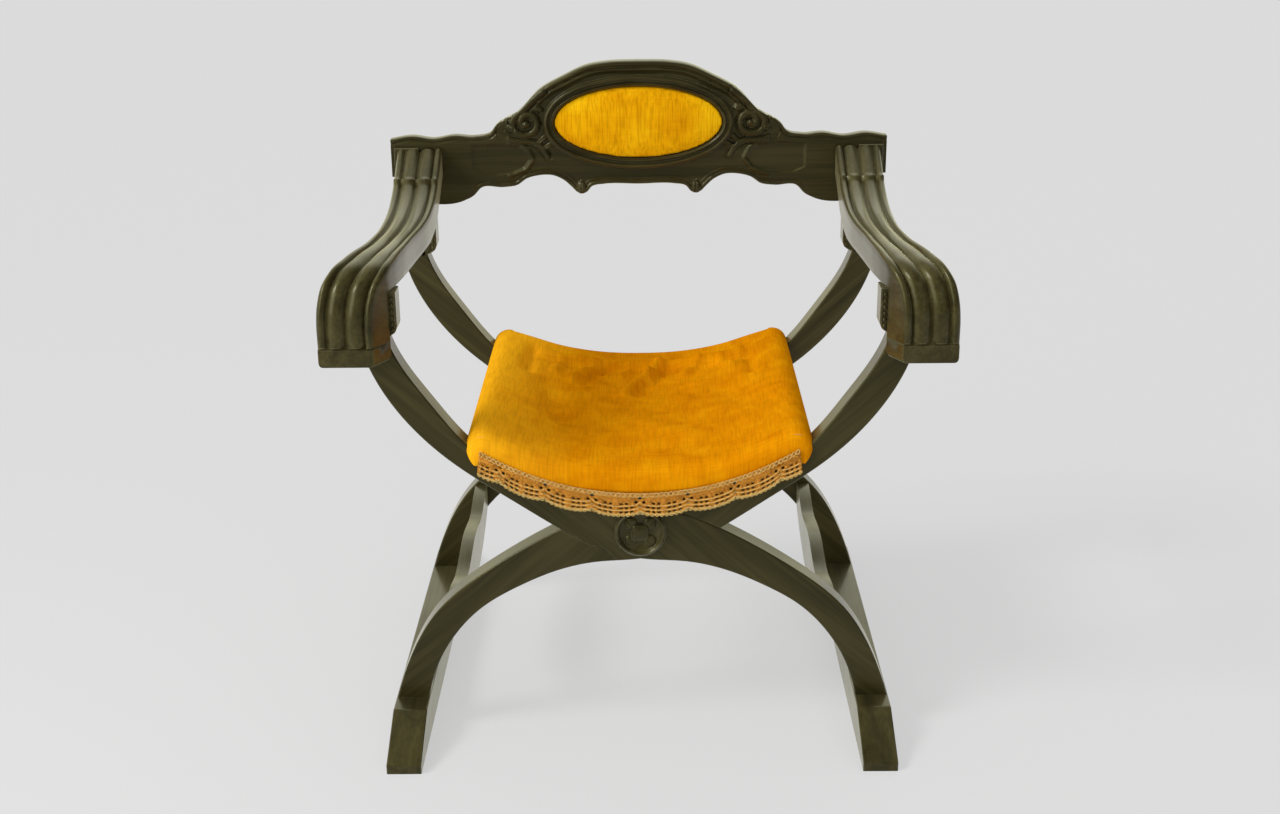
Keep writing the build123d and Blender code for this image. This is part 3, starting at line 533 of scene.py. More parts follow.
def makeArm(sideName):
    side = sides[sideName]
    share = np.linspace(0, 1, arm["stations"])
    topLine = smoothRun(arm["top"], arm["stations"] * 4)
    spread = alongRun(topLine)
    topLine = np.column_stack([np.interp(share * spread[-1], spread, topLine[:, i]) for i in (0, 1)])
    key = alongRun(arm["top"])
    underAt = share * key[-1]
    underLine = np.column_stack([np.interp(underAt, key, np.array(arm["under"], float)[:, i])
                                 for i in (0, 1)])
    tangent = np.gradient(topLine, axis=0)
    tangent /= np.linalg.norm(tangent, axis=1)[:, None]
    outward = np.column_stack([tangent[:, 1], -tangent[:, 0]])
    outward *= np.where(outward[:, 1:2] < -0.2, -1, 1)
    t = np.linspace(0, 1, arm["across"])
    drop = reedDrop(t)
    outerRun = smoothRun(arm["outer"], 200)
    innerRun = smoothRun(arm["inner"], 200)
    rings = []

    def addRing(top, under, push, scale):
        inX, outX = np.interp(top[0], innerRun[:, 0], innerRun[:, 1]), np.interp(top[0], outerRun[:, 0],
                                                                                 outerRun[:, 1])
        inU, outU = np.interp(under[0], innerRun[:, 0], innerRun[:, 1]), np.interp(under[0], outerRun[:, 0],
                                                                                   outerRun[:, 1])
        ring = []
        for ti, di in zip(t, drop):
            shift = push - di * scale
            ring.append((side * (inX + ti * (outX - inX)), top[0] + outVector[0] * shift,
                         top[1] + outVector[1] * shift))
        first, last = np.array(ring[0]), np.array(ring[-1])
        lowOut = np.array((side * outU, under[0], under[1]))
        lowIn = np.array((side * inU, under[0], under[1]))
        ring += [tuple(last + (lowOut - last) * k) for k in (0.25, 0.5, 0.75, 0.94)]
        ring += [tuple(lowOut + (lowIn - lowOut) * k) for k in (0.03, 0.35, 0.65, 0.97)]
        ring += [tuple(lowIn + (first - lowIn) * k) for k in (0.06, 0.25, 0.5, 0.75)]
        rings.append(ring)

    for top, under, outVector in zip(topLine, underLine, outward):
        band = max(0.0, 1 - abs(top[0] - arm["bandAt"]) / arm["bandWide"])
        addRing(top, under, arm["bandHigh"] * band ** 0.5, 1 - 0.7 * band)
    outVector = (-1.0, 0.0)
    front, back = arm["top"][-1][0], arm["under"][-1][0]
    for z, push, scale in ((arm["plinthHigh"] + 0.8, -2.6, 0.4), (arm["plinthHigh"], -2.6, 0.1),
                           (arm["plinthHigh"] - 0.8, -0.4, 0.03)):
        addRing((front, z), (back, z), push, scale)
    for turn in np.radians(np.linspace(0, 90, 7)):
        inset = arm["footRound"] * (1 - math.cos(turn))
        z = arm["plinthLow"] + arm["footRound"] * (1 - math.sin(turn))
        addRing((front, z), (back, z), -0.4, 0.03)
        centre = np.mean(rings[-1], axis=0)
        span = np.abs(np.array(rings[-1]) - centre).max(axis=0)
        shrink = [max(0.0, 1 - inset / w) if w > 1 else 1 for w in span]
        rings[-1] = [tuple(centre + (np.array(p) - centre) * shrink) for p in rings[-1]]
    points, faces, caps = loft(rings)
    obj = makePiece(f"{sideName}Arm", points * mm, faces + caps, finishes["arm"], 40)
    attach(obj, leafOf[sideName])
    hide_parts(f"{sideName}_arm")
    return obj


# ---- crest rail ----

crest = {
    "top": [(0, 751), (38, 750), (64, 746), (97.5, 731.5), (126, 716), (156, 686.5), (186, 668), (192, 660),
            (213, 655), (240, 656.5), (266, 652.5), (296, 656), (323, 652)],
    "under": [(0, 590.5), (47, 590.5), (61, 588), (70, 579.4), (72, 579), (78, 579), (80, 579.6), (88, 587),
              (98, 596), (112, 602.5), (133, 602.5),
              (146, 599), (160, 590), (178, 587.5), (207, 587), (217, 577), (229, 571), (318.99, 571)],
    "earLow": 603, "half": 323, "front": 177.3, "back": 192.7, "rows": 104, "step": 1.3,
    "domeProfile": [(0, -1.6), (0.8, 0.6), (2.2, 2.6), (4, 3.4), (6, 2.6), (7.4, 0.2), (8.6, 0.0), (9.4, 1.6),
                    (11, 2.2), (13, 0.8), (15, -0.9), (17, -1.4), (60, -1.4)],
    "shoulderProfile": [(0, -1.8), (0.8, -0.4), (2, 0), (3.6, 0), (4.6, -1.6), (5.8, -1.8), (7, -0.3),
                        (8.2, 0), (90, 0)],
    "underProfile": [(0, -1.6), (0.8, 0.2), (2, 1.2), (4.2, 1.2), (5.4, -0.8), (6.8, -0.8), (8, 0), (90, 0)],
    "panel": [(217, 643), (217, 612), (203, 605.5), (187, 604), (165, 607), (150, 613), (141, 624),
              (146, 634),
              (155, 641), (185, 645)],
    "panelProfile": [(-6, 0), (-4.4, 1.1), (-2.6, 1.4), (-1, 0.4), (0.8, -2.3), (2.4, -2.6), (60, -2.4)],
    "scroll": [(122, 712), (141, 697), (157, 683), (164, 672), (160, 661), (149, 656), (138, 659), (132, 668),
               (134, 678), (142, 683), (150, 680), (153, 673), (149, 668), (144, 670)],
    "leaf": [(166, 664), (174, 668), (180, 664), (178, 656), (168, 651), (154, 648), (138, 647), (126, 640),
             (118, 628)],
    "scrollEye": (145.5, 671, 4.2, 5.4),
    "leaves": [(176, 677, 0.9, 9, 4), (167, 684, 0.8, 9, 4), (124, 652, -0.7, 10, 4), (115, 644, -0.5, 10, 4),
               (75, 586, 1.57, 9, 6), (130, 690, 0.2, 8, 4)],
    "softEdge": 1.0, "ovalCentre": 672, "ovalHalfLong": 110, "ovalHalfHigh": 47,
    "boardHalfLong": 117, "boardHalfHigh": 54, "boardDeep": 4,
    "ringProfile": [(-0.2, 0.2), (0, 2.6), (1.2, 4.4), (2.8, 5.2), (4.4, 4.4), (5.2, 2.6), (6.4, 2.4),
                    (7.4, 4.6),
                    (9.2, 6.8), (11.2, 6.6), (12.8, 4.4), (13.4, 1.6), (14, 1.2), (14, 0.0)],
}


def carveCrest(x, z):
    spots = np.column_stack([np.abs(x), z])
    topRun = smoothRun(crest["top"], 240)
    underRun = smoothRun(crest["under"][:-1], 160)
    fromTop = farFrom(spots, topRun)
    fromUnder = farFrom(spots, underRun)
    away = np.abs(x)

    def shaped(profile, distance):
        a, b = np.array(profile, float).T
        return np.interp(distance, a, b)

    dome = 1 - smooth((away - 150) / 26)
    height = dome * shaped(crest["domeProfile"], fromTop)
    height += (1 - dome) * shaped(crest["shoulderProfile"], fromTop)
    lower = (1 - smooth((away - 214) / 8)) * (1 - smooth((fromUnder - 8) / 3))
    height = height * (1 - lower) + lower * shaped(crest["underProfile"], fromUnder)
    panel = np.array(crest["panel"], float)
    signed = farFrom(spots, panel, closed=True) * np.where(insideOf(spots, panel), 1, -1)
    nearPanel = smooth((signed + 7) / 1.5)
    height = height * (1 - nearPanel) + nearPanel * shaped(crest["panelProfile"], signed)
    notch = np.abs(np.sin((away - 1.2 * z) * math.pi / 7.5))     # gadroons on the foot of the dome
    gadroon = smooth((away - 120) / 12) * (1 - smooth((away - 182) / 6)) * (1 - smooth((fromTop - 5.5) / 1.5))
    height += gadroon * (1.5 * notch - 0.6)
    for path, thick, tall in ((crest["scroll"], 4.6, 4.8), (crest["leaf"], 3.6, 3.4)):
        run = smoothRun(path, 90)
        reach = farFrom(spots, run)
        cord = np.sqrt(np.clip(1 - (reach / thick) ** 2, 0, 1))
        groove = np.exp(-((reach - thick - 0.8) / 1.1) ** 2)
        height = np.where(cord > 0, np.maximum(height, tall * cord - 0.6), height - 1.2 * groove)
    eyeX, eyeZ, eyeRadius, eyeHigh = crest["scrollEye"]
    eye = np.hypot(spots[:, 0] - eyeX, spots[:, 1] - eyeZ)
    button = eyeHigh * np.sqrt(np.clip(1 - (eye / eyeRadius) ** 2, 0, 1))
    height = np.where(eye < eyeRadius, np.maximum(height, button), height)
    for leafX, leafZ, turn, long, wide in crest["leaves"]:
        u = (spots[:, 0] - leafX) * math.cos(turn) + (spots[:, 1] - leafZ) * math.sin(turn)
        v = -(spots[:, 0] - leafX) * math.sin(turn) + (spots[:, 1] - leafZ) * math.cos(turn)
        blob = np.sqrt(np.clip(1 - (u / long) ** 2 - (v / wide) ** 2, 0, 1))
        vein = 1.2 * np.exp(-(v / 0.9) ** 2)
        height = np.where(blob > 0, np.maximum(height, 3.6 * blob - vein * (blob > 0.25)), height)
    flush = smooth((away - 166) / 6)
    height = np.minimum(height, 6 * (1 - flush))
    edge = np.minimum(fromTop, np.where(away < 229, fromUnder, 99))
    return np.where(edge < 1.2, np.minimum(height, height - (1.2 - edge) * 0.9), height)


def makeCrest():
    half = crest["half"]
    away = np.arange(0, half, crest["step"])
    away = np.unique(np.concatenate([away, [229, 318.99, 319.01, half]]))
    x = np.concatenate([-away[::-1], away[1:]])
    topRun, underRun = smoothRun(crest["top"], 900), smoothRun(crest["under"], 900)
    top = np.interp(np.abs(x), topRun[:, 0], topRun[:, 1])
    under = np.interp(np.abs(x), underRun[:, 0], underRun[:, 1])
    under = np.where(np.abs(x) > 319, crest["earLow"], under)
    share = np.linspace(0, 1, crest["rows"])
    share = share - 0.035 * np.sin(4 * math.pi * share) / 2
    gridX = np.repeat(x[:, None], len(share), axis=1)
    gridZ = under[:, None] + (top - under)[:, None] * share
    height = carveCrest(gridX.ravel(), gridZ.ravel()).reshape(gridX.shape)
    front = np.dstack([gridX, crest["front"] - height, gridZ]).reshape(-1, 3)
    n, m = gridX.shape
    faces = [(i * m + j, (i + 1) * m + j, (i + 1) * m + j + 1, i * m + j + 1) for i in range(n - 1)
             for j in range(m - 1)]
    rim = [(i, 0) for i in range(n)] + [(n - 1, j) for j in range(1, m)] + [(i, m - 1)
                                                                            for i in range(n - 2, -1, -1)]
    rim += [(0, j) for j in range(m - 2, 0, -1)]
    spread = crest["softEdge"]
    base = len(front)
    ringA = [(gridX[i, j], crest["back"] - spread, gridZ[i, j]) for i, j in rim]
    points = list(front) + ringA
    for k in range(len(rim)):
        a, b = rim[k], rim[(k + 1) % len(rim)]
        faces.append((a[0] * m + a[1], base + k, base + (k + 1) % len(rim), b[0] * m + b[1]))
    backBase = len(points)
    for i in range(n):
        xi = gridX[i, 0] - np.sign(gridX[i, 0]) * (spread if i in (0, n - 1) else 0)
        points.append((xi, crest["back"], gridZ[i, 0] + spread))
        points.append((xi, crest["back"], gridZ[i, -1] - spread))
    for i in range(n - 1):
        low, high = backBase + 2 * i, backBase + 2 * i + 1
        faces.append((low, high, high + 2, low + 2))
        faces.append((base + i, low, low + 2, base + i + 1))
        topA, topB = base + n + m - 2 + (n - 1 - i), base + n + m - 2 + (n - 2 - i)
        faces.append((topA, topB, high + 2, high))
    rightEnd = [base + n - 1 + j for j in range(m)]
    leftEnd = [base + 2 * n + m - 3 + j for j in range(m - 1)] + [base]
    faces.append(tuple(rightEnd + [backBase + 2 * (n - 1) + 1, backBase + 2 * (n - 1)]))
    faces.append(tuple(leftEnd + [backBase, backBase + 1]))
    obj = makePiece("crestRail", np.array(points) * mm, faces, finishes["across"], 38)
    for name, long, high, low, far in (("ovalCut", crest["ovalHalfLong"], crest["ovalHalfHigh"], 150, 200),
                                       ("boardCut", crest["boardHalfLong"], crest["boardHalfHigh"],
                                        crest["back"] - crest["boardDeep"], 200)):
        turns = np.linspace(0, 2 * math.pi, 144, endpoint=False)
        rings = [[(long * math.cos(a), y, crest["ovalCentre"] + high * math.sin(a)) for a in turns]
                 for y in (low, far)]
        points, sideFaces, caps = loft(rings)
        cutter = makePiece(name, points * mm, sideFaces + caps, finishes["across"])
        modifier = obj.modifiers.new(name, "BOOLEAN")
        modifier.operation = "DIFFERENCE"
        modifier.solver = "EXACT"
        modifier.object = cutter
        plainMesh(obj)
        bpy.data.objects.remove(cutter)
    obj.name = "crestRail"
    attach(obj, "back_rest")
    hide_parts("crest_rail")
    return obj


def makeOvalMoulding():
    turns = np.linspace(0, 2 * math.pi, 200, endpoint=False)
    long, high = crest["ovalHalfLong"], crest["ovalHalfHigh"]
    rings = []
    for a in turns:
        outX, outZ = high * math.cos(a), long * math.sin(a)
        size = math.hypot(outX, outZ)
        outX, outZ = outX / size, outZ / size
        rings.append([(long * math.cos(a) + outX * r, crest["front"] - h,
                       crest["ovalCentre"] + high * math.sin(a) + outZ * r) for r, h in crest["ringProfile"]])
    rings.append(rings[0])
    points, faces, _ = loft(rings)
    obj = makePiece("ovalMoulding", points * mm, faces, finishes["across"], 50)
    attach(obj, "back_rest")
    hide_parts("oval_moulding")


# ---- velvet pad in the crest ----

pad = {
    "halfLong": 109.0, "halfHigh": 46.0, "edgeFront": 176.0, "crown": 6.0, "back": 188.4, "rings": 26,
       "round": 120,
    "voxel": 4.0, "pressure": 4.0, "mostMove": 5.0, "frames": 20,
}


def makeBackPad():
    turns = np.linspace(0, 2 * math.pi, pad["round"], endpoint=False)
    rings = []
    for share in np.linspace(0.04, 1, pad["rings"]):
        swell = (1 - share ** 3.2) * pad["crown"]
        rings.append([(pad["halfLong"] * share * math.cos(a), pad["edgeFront"] - swell,
                       crest["ovalCentre"] + pad["halfHigh"] * share * math.sin(a)) for a in turns])
    rings.append([(pad["halfLong"] * math.cos(a), pad["back"],
                   crest["ovalCentre"] + pad["halfHigh"] * math.sin(a))
                  for a in turns])
    points, faces, caps = loft(rings)
    obj = makePiece("backPad", points * mm, faces + caps, finishes["padVelvetWithPaintedLight"], 60)
    puffPad(obj)
    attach(obj, "back_rest")
    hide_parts("back_pad")


def puffPad(obj):
    scene = bpy.context.scene
    remesh = obj.modifiers.new("remesh", "REMESH")
    remesh.mode = "VOXEL"
    remesh.voxel_size = pad["voxel"] * mm
    plainMesh(obj)
    before = np.array([v.co for v in obj.data.vertices])
    reach = np.hypot(before[:, 0] / (pad["halfLong"] * mm),
                     (before[:, 2] - crest["ovalCentre"] * mm) / (pad["halfHigh"] * mm))
    held = np.flatnonzero((reach > 0.93) | (before[:, 1] > (pad["edgeFront"] + 1) * mm))
    group = obj.vertex_groups.new(name="held")
    group.add([int(i) for i in held], 1.0, "REPLACE")
    cloth = obj.modifiers.new("cloth", "CLOTH")
    cloth.settings.use_pressure = True
    cloth.settings.uniform_pressure_force = pad["pressure"]
    cloth.settings.effector_weights.gravity = 0
    cloth.settings.vertex_group_mass = "held"
    cloth.point_cache.frame_end = pad["frames"]
    for frameNumber in range(1, pad["frames"] + 1):
        scene.frame_set(frameNumber)
    plainMesh(obj)
    scene.frame_set(1)
    obj.vertex_groups.clear()
    after = np.array([v.co for v in obj.data.vertices])
    move = after - before
    size = np.linalg.norm(move, axis=1, keepdims=True)
    most = pad["mostMove"] * mm
    after = before + move * np.minimum(1, most / np.maximum(size, 1e-9))
    obj.data.vertices.foreach_set("co", after.ravel())
    rounder = obj.modifiers.new("rounder", "SUBSURF")
    rounder.levels = rounder.render_levels = 1
    plainMesh(obj)
    for face in obj.data.polygons:
        face.use_smooth = True


# ---- seat ----

seat = {
    "railX": 180, "railZ": 366, "radius": 19.6, "endAngle": -62, "leaveAngle": 104,
    "rearHeights": [(0, 352), (55, 354.5), (110, 364.5), (150, 377.5)],
    "middleHeights": [(0, 346), (55, 349), (110, 359.5), (150, 376)],
    "frontHeights": [(0, 342), (55, 345), (110, 356), (150, 374)],
    "rear": 204, "front": -209, "rearRoll": 9, "frontRoll": 30,
    "frontEdge": [(0, 311.5), (72, 317.5), (114, 328.5), (150, 341), (175, 347.5), (189, 348.7)],
    "gather": 175, "boxy": 3.2,
    "thick": 4.0,
    "folds": [((-132, 148), (134, 144), 9, 6.8), ((-128, 128), (134, 124), 9, -4.6),
              ((-60, 140), (-88, 78), 6, 6.8),
              ((-44, 134), (-72, 70), 7, -4.9), ((24, 142), (-22, 34), 6, 9.5),
              ((40, 136), (-2, 40), 7, -5.9),
              ((78, 142), (56, 100), 6, 5.9), ((-12, 138), (-26, 96), 5, 5.4),
              ((142, 176), (146, 60), 8, -6.8),
              ((-142, 178), (-147, 70), 8, -8.6), ((100, 40), (150, -60), 22, -4.6),
              ((-118, 60), (-96, -60), 20, -4.1),
              ((70, 60), (128, 96), 12, 5.9), ((0, -60), (60, -110), 24, 4.6),
              ((104, 138), (120, 84), 6, 6.2),
              ((-104, 136), (-112, 92), 6, 5.7), ((6, 134), (14, 84), 5, 4.3),
              ((-50, 58), (-90, 10), 14, 4.9)],
    "foldFade": (150, 186),
    "acrossHalf": 46, "deep": 104,
}


def seatHeight(x, y):
    away = np.abs(x)
    height = []
    for key in ("rearHeights", "middleHeights", "frontHeights"):
        points = [(-seat[key][1][0], seat[key][1][1])] + seat[key]
        lift = seat["railZ"] + seat["radius"]
        run = smoothRun(points + [(seat["railX"] - 6, lift - 0.6)], 300)
        height.append(np.interp(away, run[:, 0], run[:, 1]))
    share = (seat["rear"] - y) / (seat["rear"] - seat["front"])
    first, second = smooth(share / 0.45), smooth((share - 0.45) / 0.55)
    return height[0] + (height[1] - height[0]) * first + (height[2] - height[1]) * second


def foldHeight(x, y):
    spots = np.column_stack([x, y])
    height = np.zeros(len(x))
    for start, end, wide, tall in seat["folds"]:
        reach = farFrom(spots, [start, end])
        height += tall * np.exp(-((reach / wide) ** 2))
    low, high = seat["foldFade"]
    return height * (1 - smooth((y - low) / (high - low)))


def makeSeatVelvet():
    angles = np.radians(np.linspace(seat["endAngle"], seat["leaveAngle"], 26))
    wrapX = seat["railX"] + seat["radius"] * np.cos(angles)
    wrapZ = seat["railZ"] + seat["radius"] * np.sin(angles)
    middle = np.linspace(wrapX[-1], 0, seat["acrossHalf"])[1:]
    halfX = np.concatenate([wrapX, middle])
    wrapShare = np.concatenate([np.ones(len(wrapX)), np.zeros(len(middle))])
    x = np.concatenate([-halfX, halfX[-2::-1]])
    wrap = np.concatenate([wrapShare, wrapShare[-2::-1]]) > 0.5
    wrapHeight = np.concatenate([np.concatenate([wrapZ, np.zeros(len(middle))]),
                                 np.concatenate([wrapZ, np.zeros(len(middle))])[-2::-1]])
    y = np.linspace(seat["rear"] - seat["rearRoll"], seat["front"] + seat["frontRoll"], seat["deep"])
    rows = []

    def row(depth):
        flat = seatHeight(x, np.full(len(x), depth)) + foldHeight(x, np.full(len(x),
                                                                             depth)) * (np.abs(x) < 166)
        z = np.where(wrap, wrapHeight, flat)
        near = np.clip((np.abs(x) - 150) / (wrapX[-1] - 150), 0, 1)
        lift = seatHeight(np.array([wrapX[-1]]), np.array([depth]))[0] - wrapZ[-1]
        return np.where(wrap, z, z - lift * smooth(near))

    first = row(y[0])
    for angle in np.radians(np.linspace(90, 8, 7)):
        rows.append((x, np.full(len(x), y[0] + seat["rearRoll"] * math.sin(angle)),
                     first - seat["rearRoll"] * (1 - math.cos(angle)) * np.where(wrap, 0.15, 1)))
    for depth in y:
        rows.append((x, np.full(len(x), depth), row(depth)))
    last = rows[-1][2]
    edgeRun = smoothRun(seat["frontEdge"], 200)
    turn = np.degrees(angles)
    gathered = seat["gather"] + (wrapX[0] - seat["gather"]) * (turn[-1] - turn) / (turn[-1] - turn[0])
    halfTo = np.concatenate([gathered, middle * seat["gather"] / wrapX[-1]])
    edgeX = np.concatenate([-halfTo, halfTo[-2::-1]])
    edgeZ = np.interp(np.abs(edgeX), edgeRun[:, 0], edgeRun[:, 1])
    for angle in np.radians(np.linspace(5, 90, 24)):
        out, level = math.sin(angle) ** (2 / seat["boxy"]), math.cos(angle) ** (2 / seat["boxy"])
        down = 1 - level
        rows.append((x + (edgeX - x) * down, np.full(len(x), y[-1] - seat["frontRoll"] * out),
                     last + (edgeZ - last) * down))
    n, m = len(rows), len(x)
    points = np.array([np.column_stack(r) for r in rows]).reshape(-1, 3)
    obj = makePiece("seatVelvet", points * mm, gridFaces(n, m), finishes["seatVelvet"], 80, turnOut=False)
    top = [f for f in obj.data.polygons if abs(f.center.x) < 0.1 and f.center.y > -0.1]
    if sum(f.normal.z for f in top) < 0:
        obj.data.flip_normals()
    thicken(obj, seat["thick"], -1)
    plainMesh(obj)
    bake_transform(obj)
    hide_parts("seat_cover")
    return obj


sling = {"radius": 13.3, "thick": 1.8, "leave": 108, "end": -62, "middle": 333.2, "half": 200.5, "rows": 60}


def makeSling():
    angles = np.radians(np.linspace(sling["end"], sling["leave"], 22))
    x = seat["railX"] + sling["radius"] * np.cos(angles)
    z = seat["railZ"] + sling["radius"] * np.sin(angles)
    sag = z[-1] - sling["middle"]
    arc = (x[-1] ** 2 + sag ** 2) / (2 * sag)
    middle = np.linspace(x[-1], 0, 40)[1:]
    halfX, halfZ = np.concatenate([x, middle]), np.concatenate([z, sling["middle"] + arc
                                                                - np.sqrt(arc ** 2 - middle ** 2)])
    x, z = np.concatenate([halfX, -halfX[-2::-1]]), np.concatenate([halfZ, halfZ[-2::-1]])
    depth = np.linspace(-sling["half"], sling["half"], sling["rows"])
    n, m = len(depth), len(x)
    points = np.array([[(xi, d, zi + 0.5 * math.sin(d / 23) * math.cos(xi / 61) * (abs(xi) < 150)) for xi,
                        zi in zip(x, z)]
                       for d in depth]).reshape(-1, 3)
    obj = makePiece("canvasSling", points * mm, gridFaces(n, m), finishes["canvas"], 80, turnOut=False)
    low = [f for f in obj.data.polygons if abs(f.center.x) < 0.1]
    if sum(f.normal.z for f in low) < 0:
        obj.data.flip_normals()
    thicken(obj, sling["thick"], 1)
    plainMesh(obj)
    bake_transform(obj)
    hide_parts("seat_sling")


# ---- lace ----

lace = {
    "pitch": 56.0, "repeats": 7, "high": 27.0, "cusp": 6.0, "thick": 0.9, "arcRadius": 350.0,
        "lowEdge": 286.0,
    "front": -210.7, "spread": 0.25,
    "holes": [(0, 22.3, 5.2, 4.4), (-4.6, 16.6, 3.8, 3.6), (4.6, 16.6, 3.8, 3.6), (0, 11.4, 3.4, 3.0)],
    "slotsAt": (9.5, 15.7, 21.9), "slotRows": (3.4, 8.6, 13.8), "slotLong": 4.8, "slotHigh": 2.5,
    "cordRows": (0.3, 6.0, 11.2), "cordThick": (0.85, 0.55, 0.55),
}


def scallop(x):
    far = 1 - np.abs(x) / (lace["pitch"] / 2)
    return lace["cusp"] * (1 - np.sqrt(np.clip(1 - far ** 2, 0, 1)))


def laceMotif():
    half = lace["pitch"] / 2
    edge = [(x, scallop(x)) for x in np.linspace(-half, half, 45)]
    outline = edge + [(half, lace["high"] * k) for k in (0.3, 0.6, 1)]
    outline += [(-half, lace["high"] * k) for k in (1, 0.6, 0.3)]
    holes = [[(x + w * dx, z + h * dz) for dx, dz in ((-0.5, -0.2), (-0.2, -0.5), (0.2, -0.5), (0.5, -0.2),
                                                     (0.5, 0.2), (0.2, 0.5), (-0.2, 0.5), (-0.5, 0.2))]
             for x, z, w, h in lace["holes"]]
    for side in (-1, 1):
        for x in lace["slotsAt"]:
            for row in lace["slotRows"]:
                if row > 10 and x < 12:
                    continue
                w, h = lace["slotLong"] / 2, lace["slotHigh"] / 2
                holes.append([(side * (x + dx), scallop(x + dx) + row + dz) for dx, dz in
                              ((-w, 0), (-w * 0.6, -h), (w * 0.6, -h), (w, 0), (w * 0.6, h), (-w * 0.6, h))])
    loops = [outline] + holes
    flat = [p for loop in loops for p in loop]
    edges, at = [], 0
    for loop in loops:
        edges += [(at + i, at + (i + 1) % len(loop)) for i in range(len(loop))]
        at += len(loop)
    points, _, faces, *_ = delaunay_2d_cdt([tuple(map(float, p)) for p in flat], edges, [], 1, 1e-6)
    points = np.array([tuple(p) for p in points])
    middles = np.array([points[list(f)].mean(axis=0) for f in faces])
    keep = insideOf(middles, np.array(outline))
    for hole in holes:
        keep &= ~insideOf(middles, np.array(hole))
    faces = [f for f, k in zip(faces, keep) if k]
    plate = makePiece("laceTrim", np.array([(x, 0, z) for x, z in points]) * mm, [tuple(f) for f in faces],
                      finishes["lace"], 80, turnOut=False)
    ringPoints, ringFaces = [], []
    for x in np.arange(-half + 2.8, half, 5.6):      # twisted heading and picot edge
        addLoop(ringPoints, ringFaces, x, lace["high"] - 1.4, 2.4, 0.6)
        addLoop(ringPoints, ringFaces, x, scallop(x) + 0.2, 2.0, 0.5)
    for lift, thick in zip(lace["cordRows"], lace["cordThick"]):
        addCord(ringPoints, ringFaces, [(x, scallop(x) + lift) for x in np.linspace(-half, half, 25)], thick)
    cords = makePiece("laceCords", np.array(ringPoints) * mm, ringFaces, finishes["cord"], 50)
    return plate, cords


def addCord(points, faces, line, thick):
    base, round_ = len(points), 5
    for x, z in line:
        for j in range(round_):
            b = 2 * math.pi * j / round_
            points.append((x, -lace["thick"] / 2 - 0.15 + thick * math.cos(b), z + thick * math.sin(b)))
    for i in range(len(line) - 1):
        for j in range(round_):
            a, b = base + i * round_ + j, base + i * round_ + (j + 1) % round_
            faces.append((a, b, b + round_, a + round_))


def addLoop(points, faces, x, z, radius, cord):
    turns, sides_ = 10, 5
    base = len(points)
    for i in range(turns):
        a = 2 * math.pi * i / turns
        for j in range(sides_):
            b = 2 * math.pi * j / sides_
            r = radius + cord * math.cos(b)
            points.append((x + r * math.cos(a), -lace["thick"] / 2 - 0.2 + cord * math.sin(b),
                           z + r * math.sin(a)))
    for i in range(turns):
        for j in range(sides_):
            faces.append((base + i * sides_ + j, base + i * sides_ + (j + 1) % sides_,
                          base + ((i + 1) % turns) * sides_ + (j + 1) % sides_,
                          base + ((i + 1) % turns) * sides_ + j))


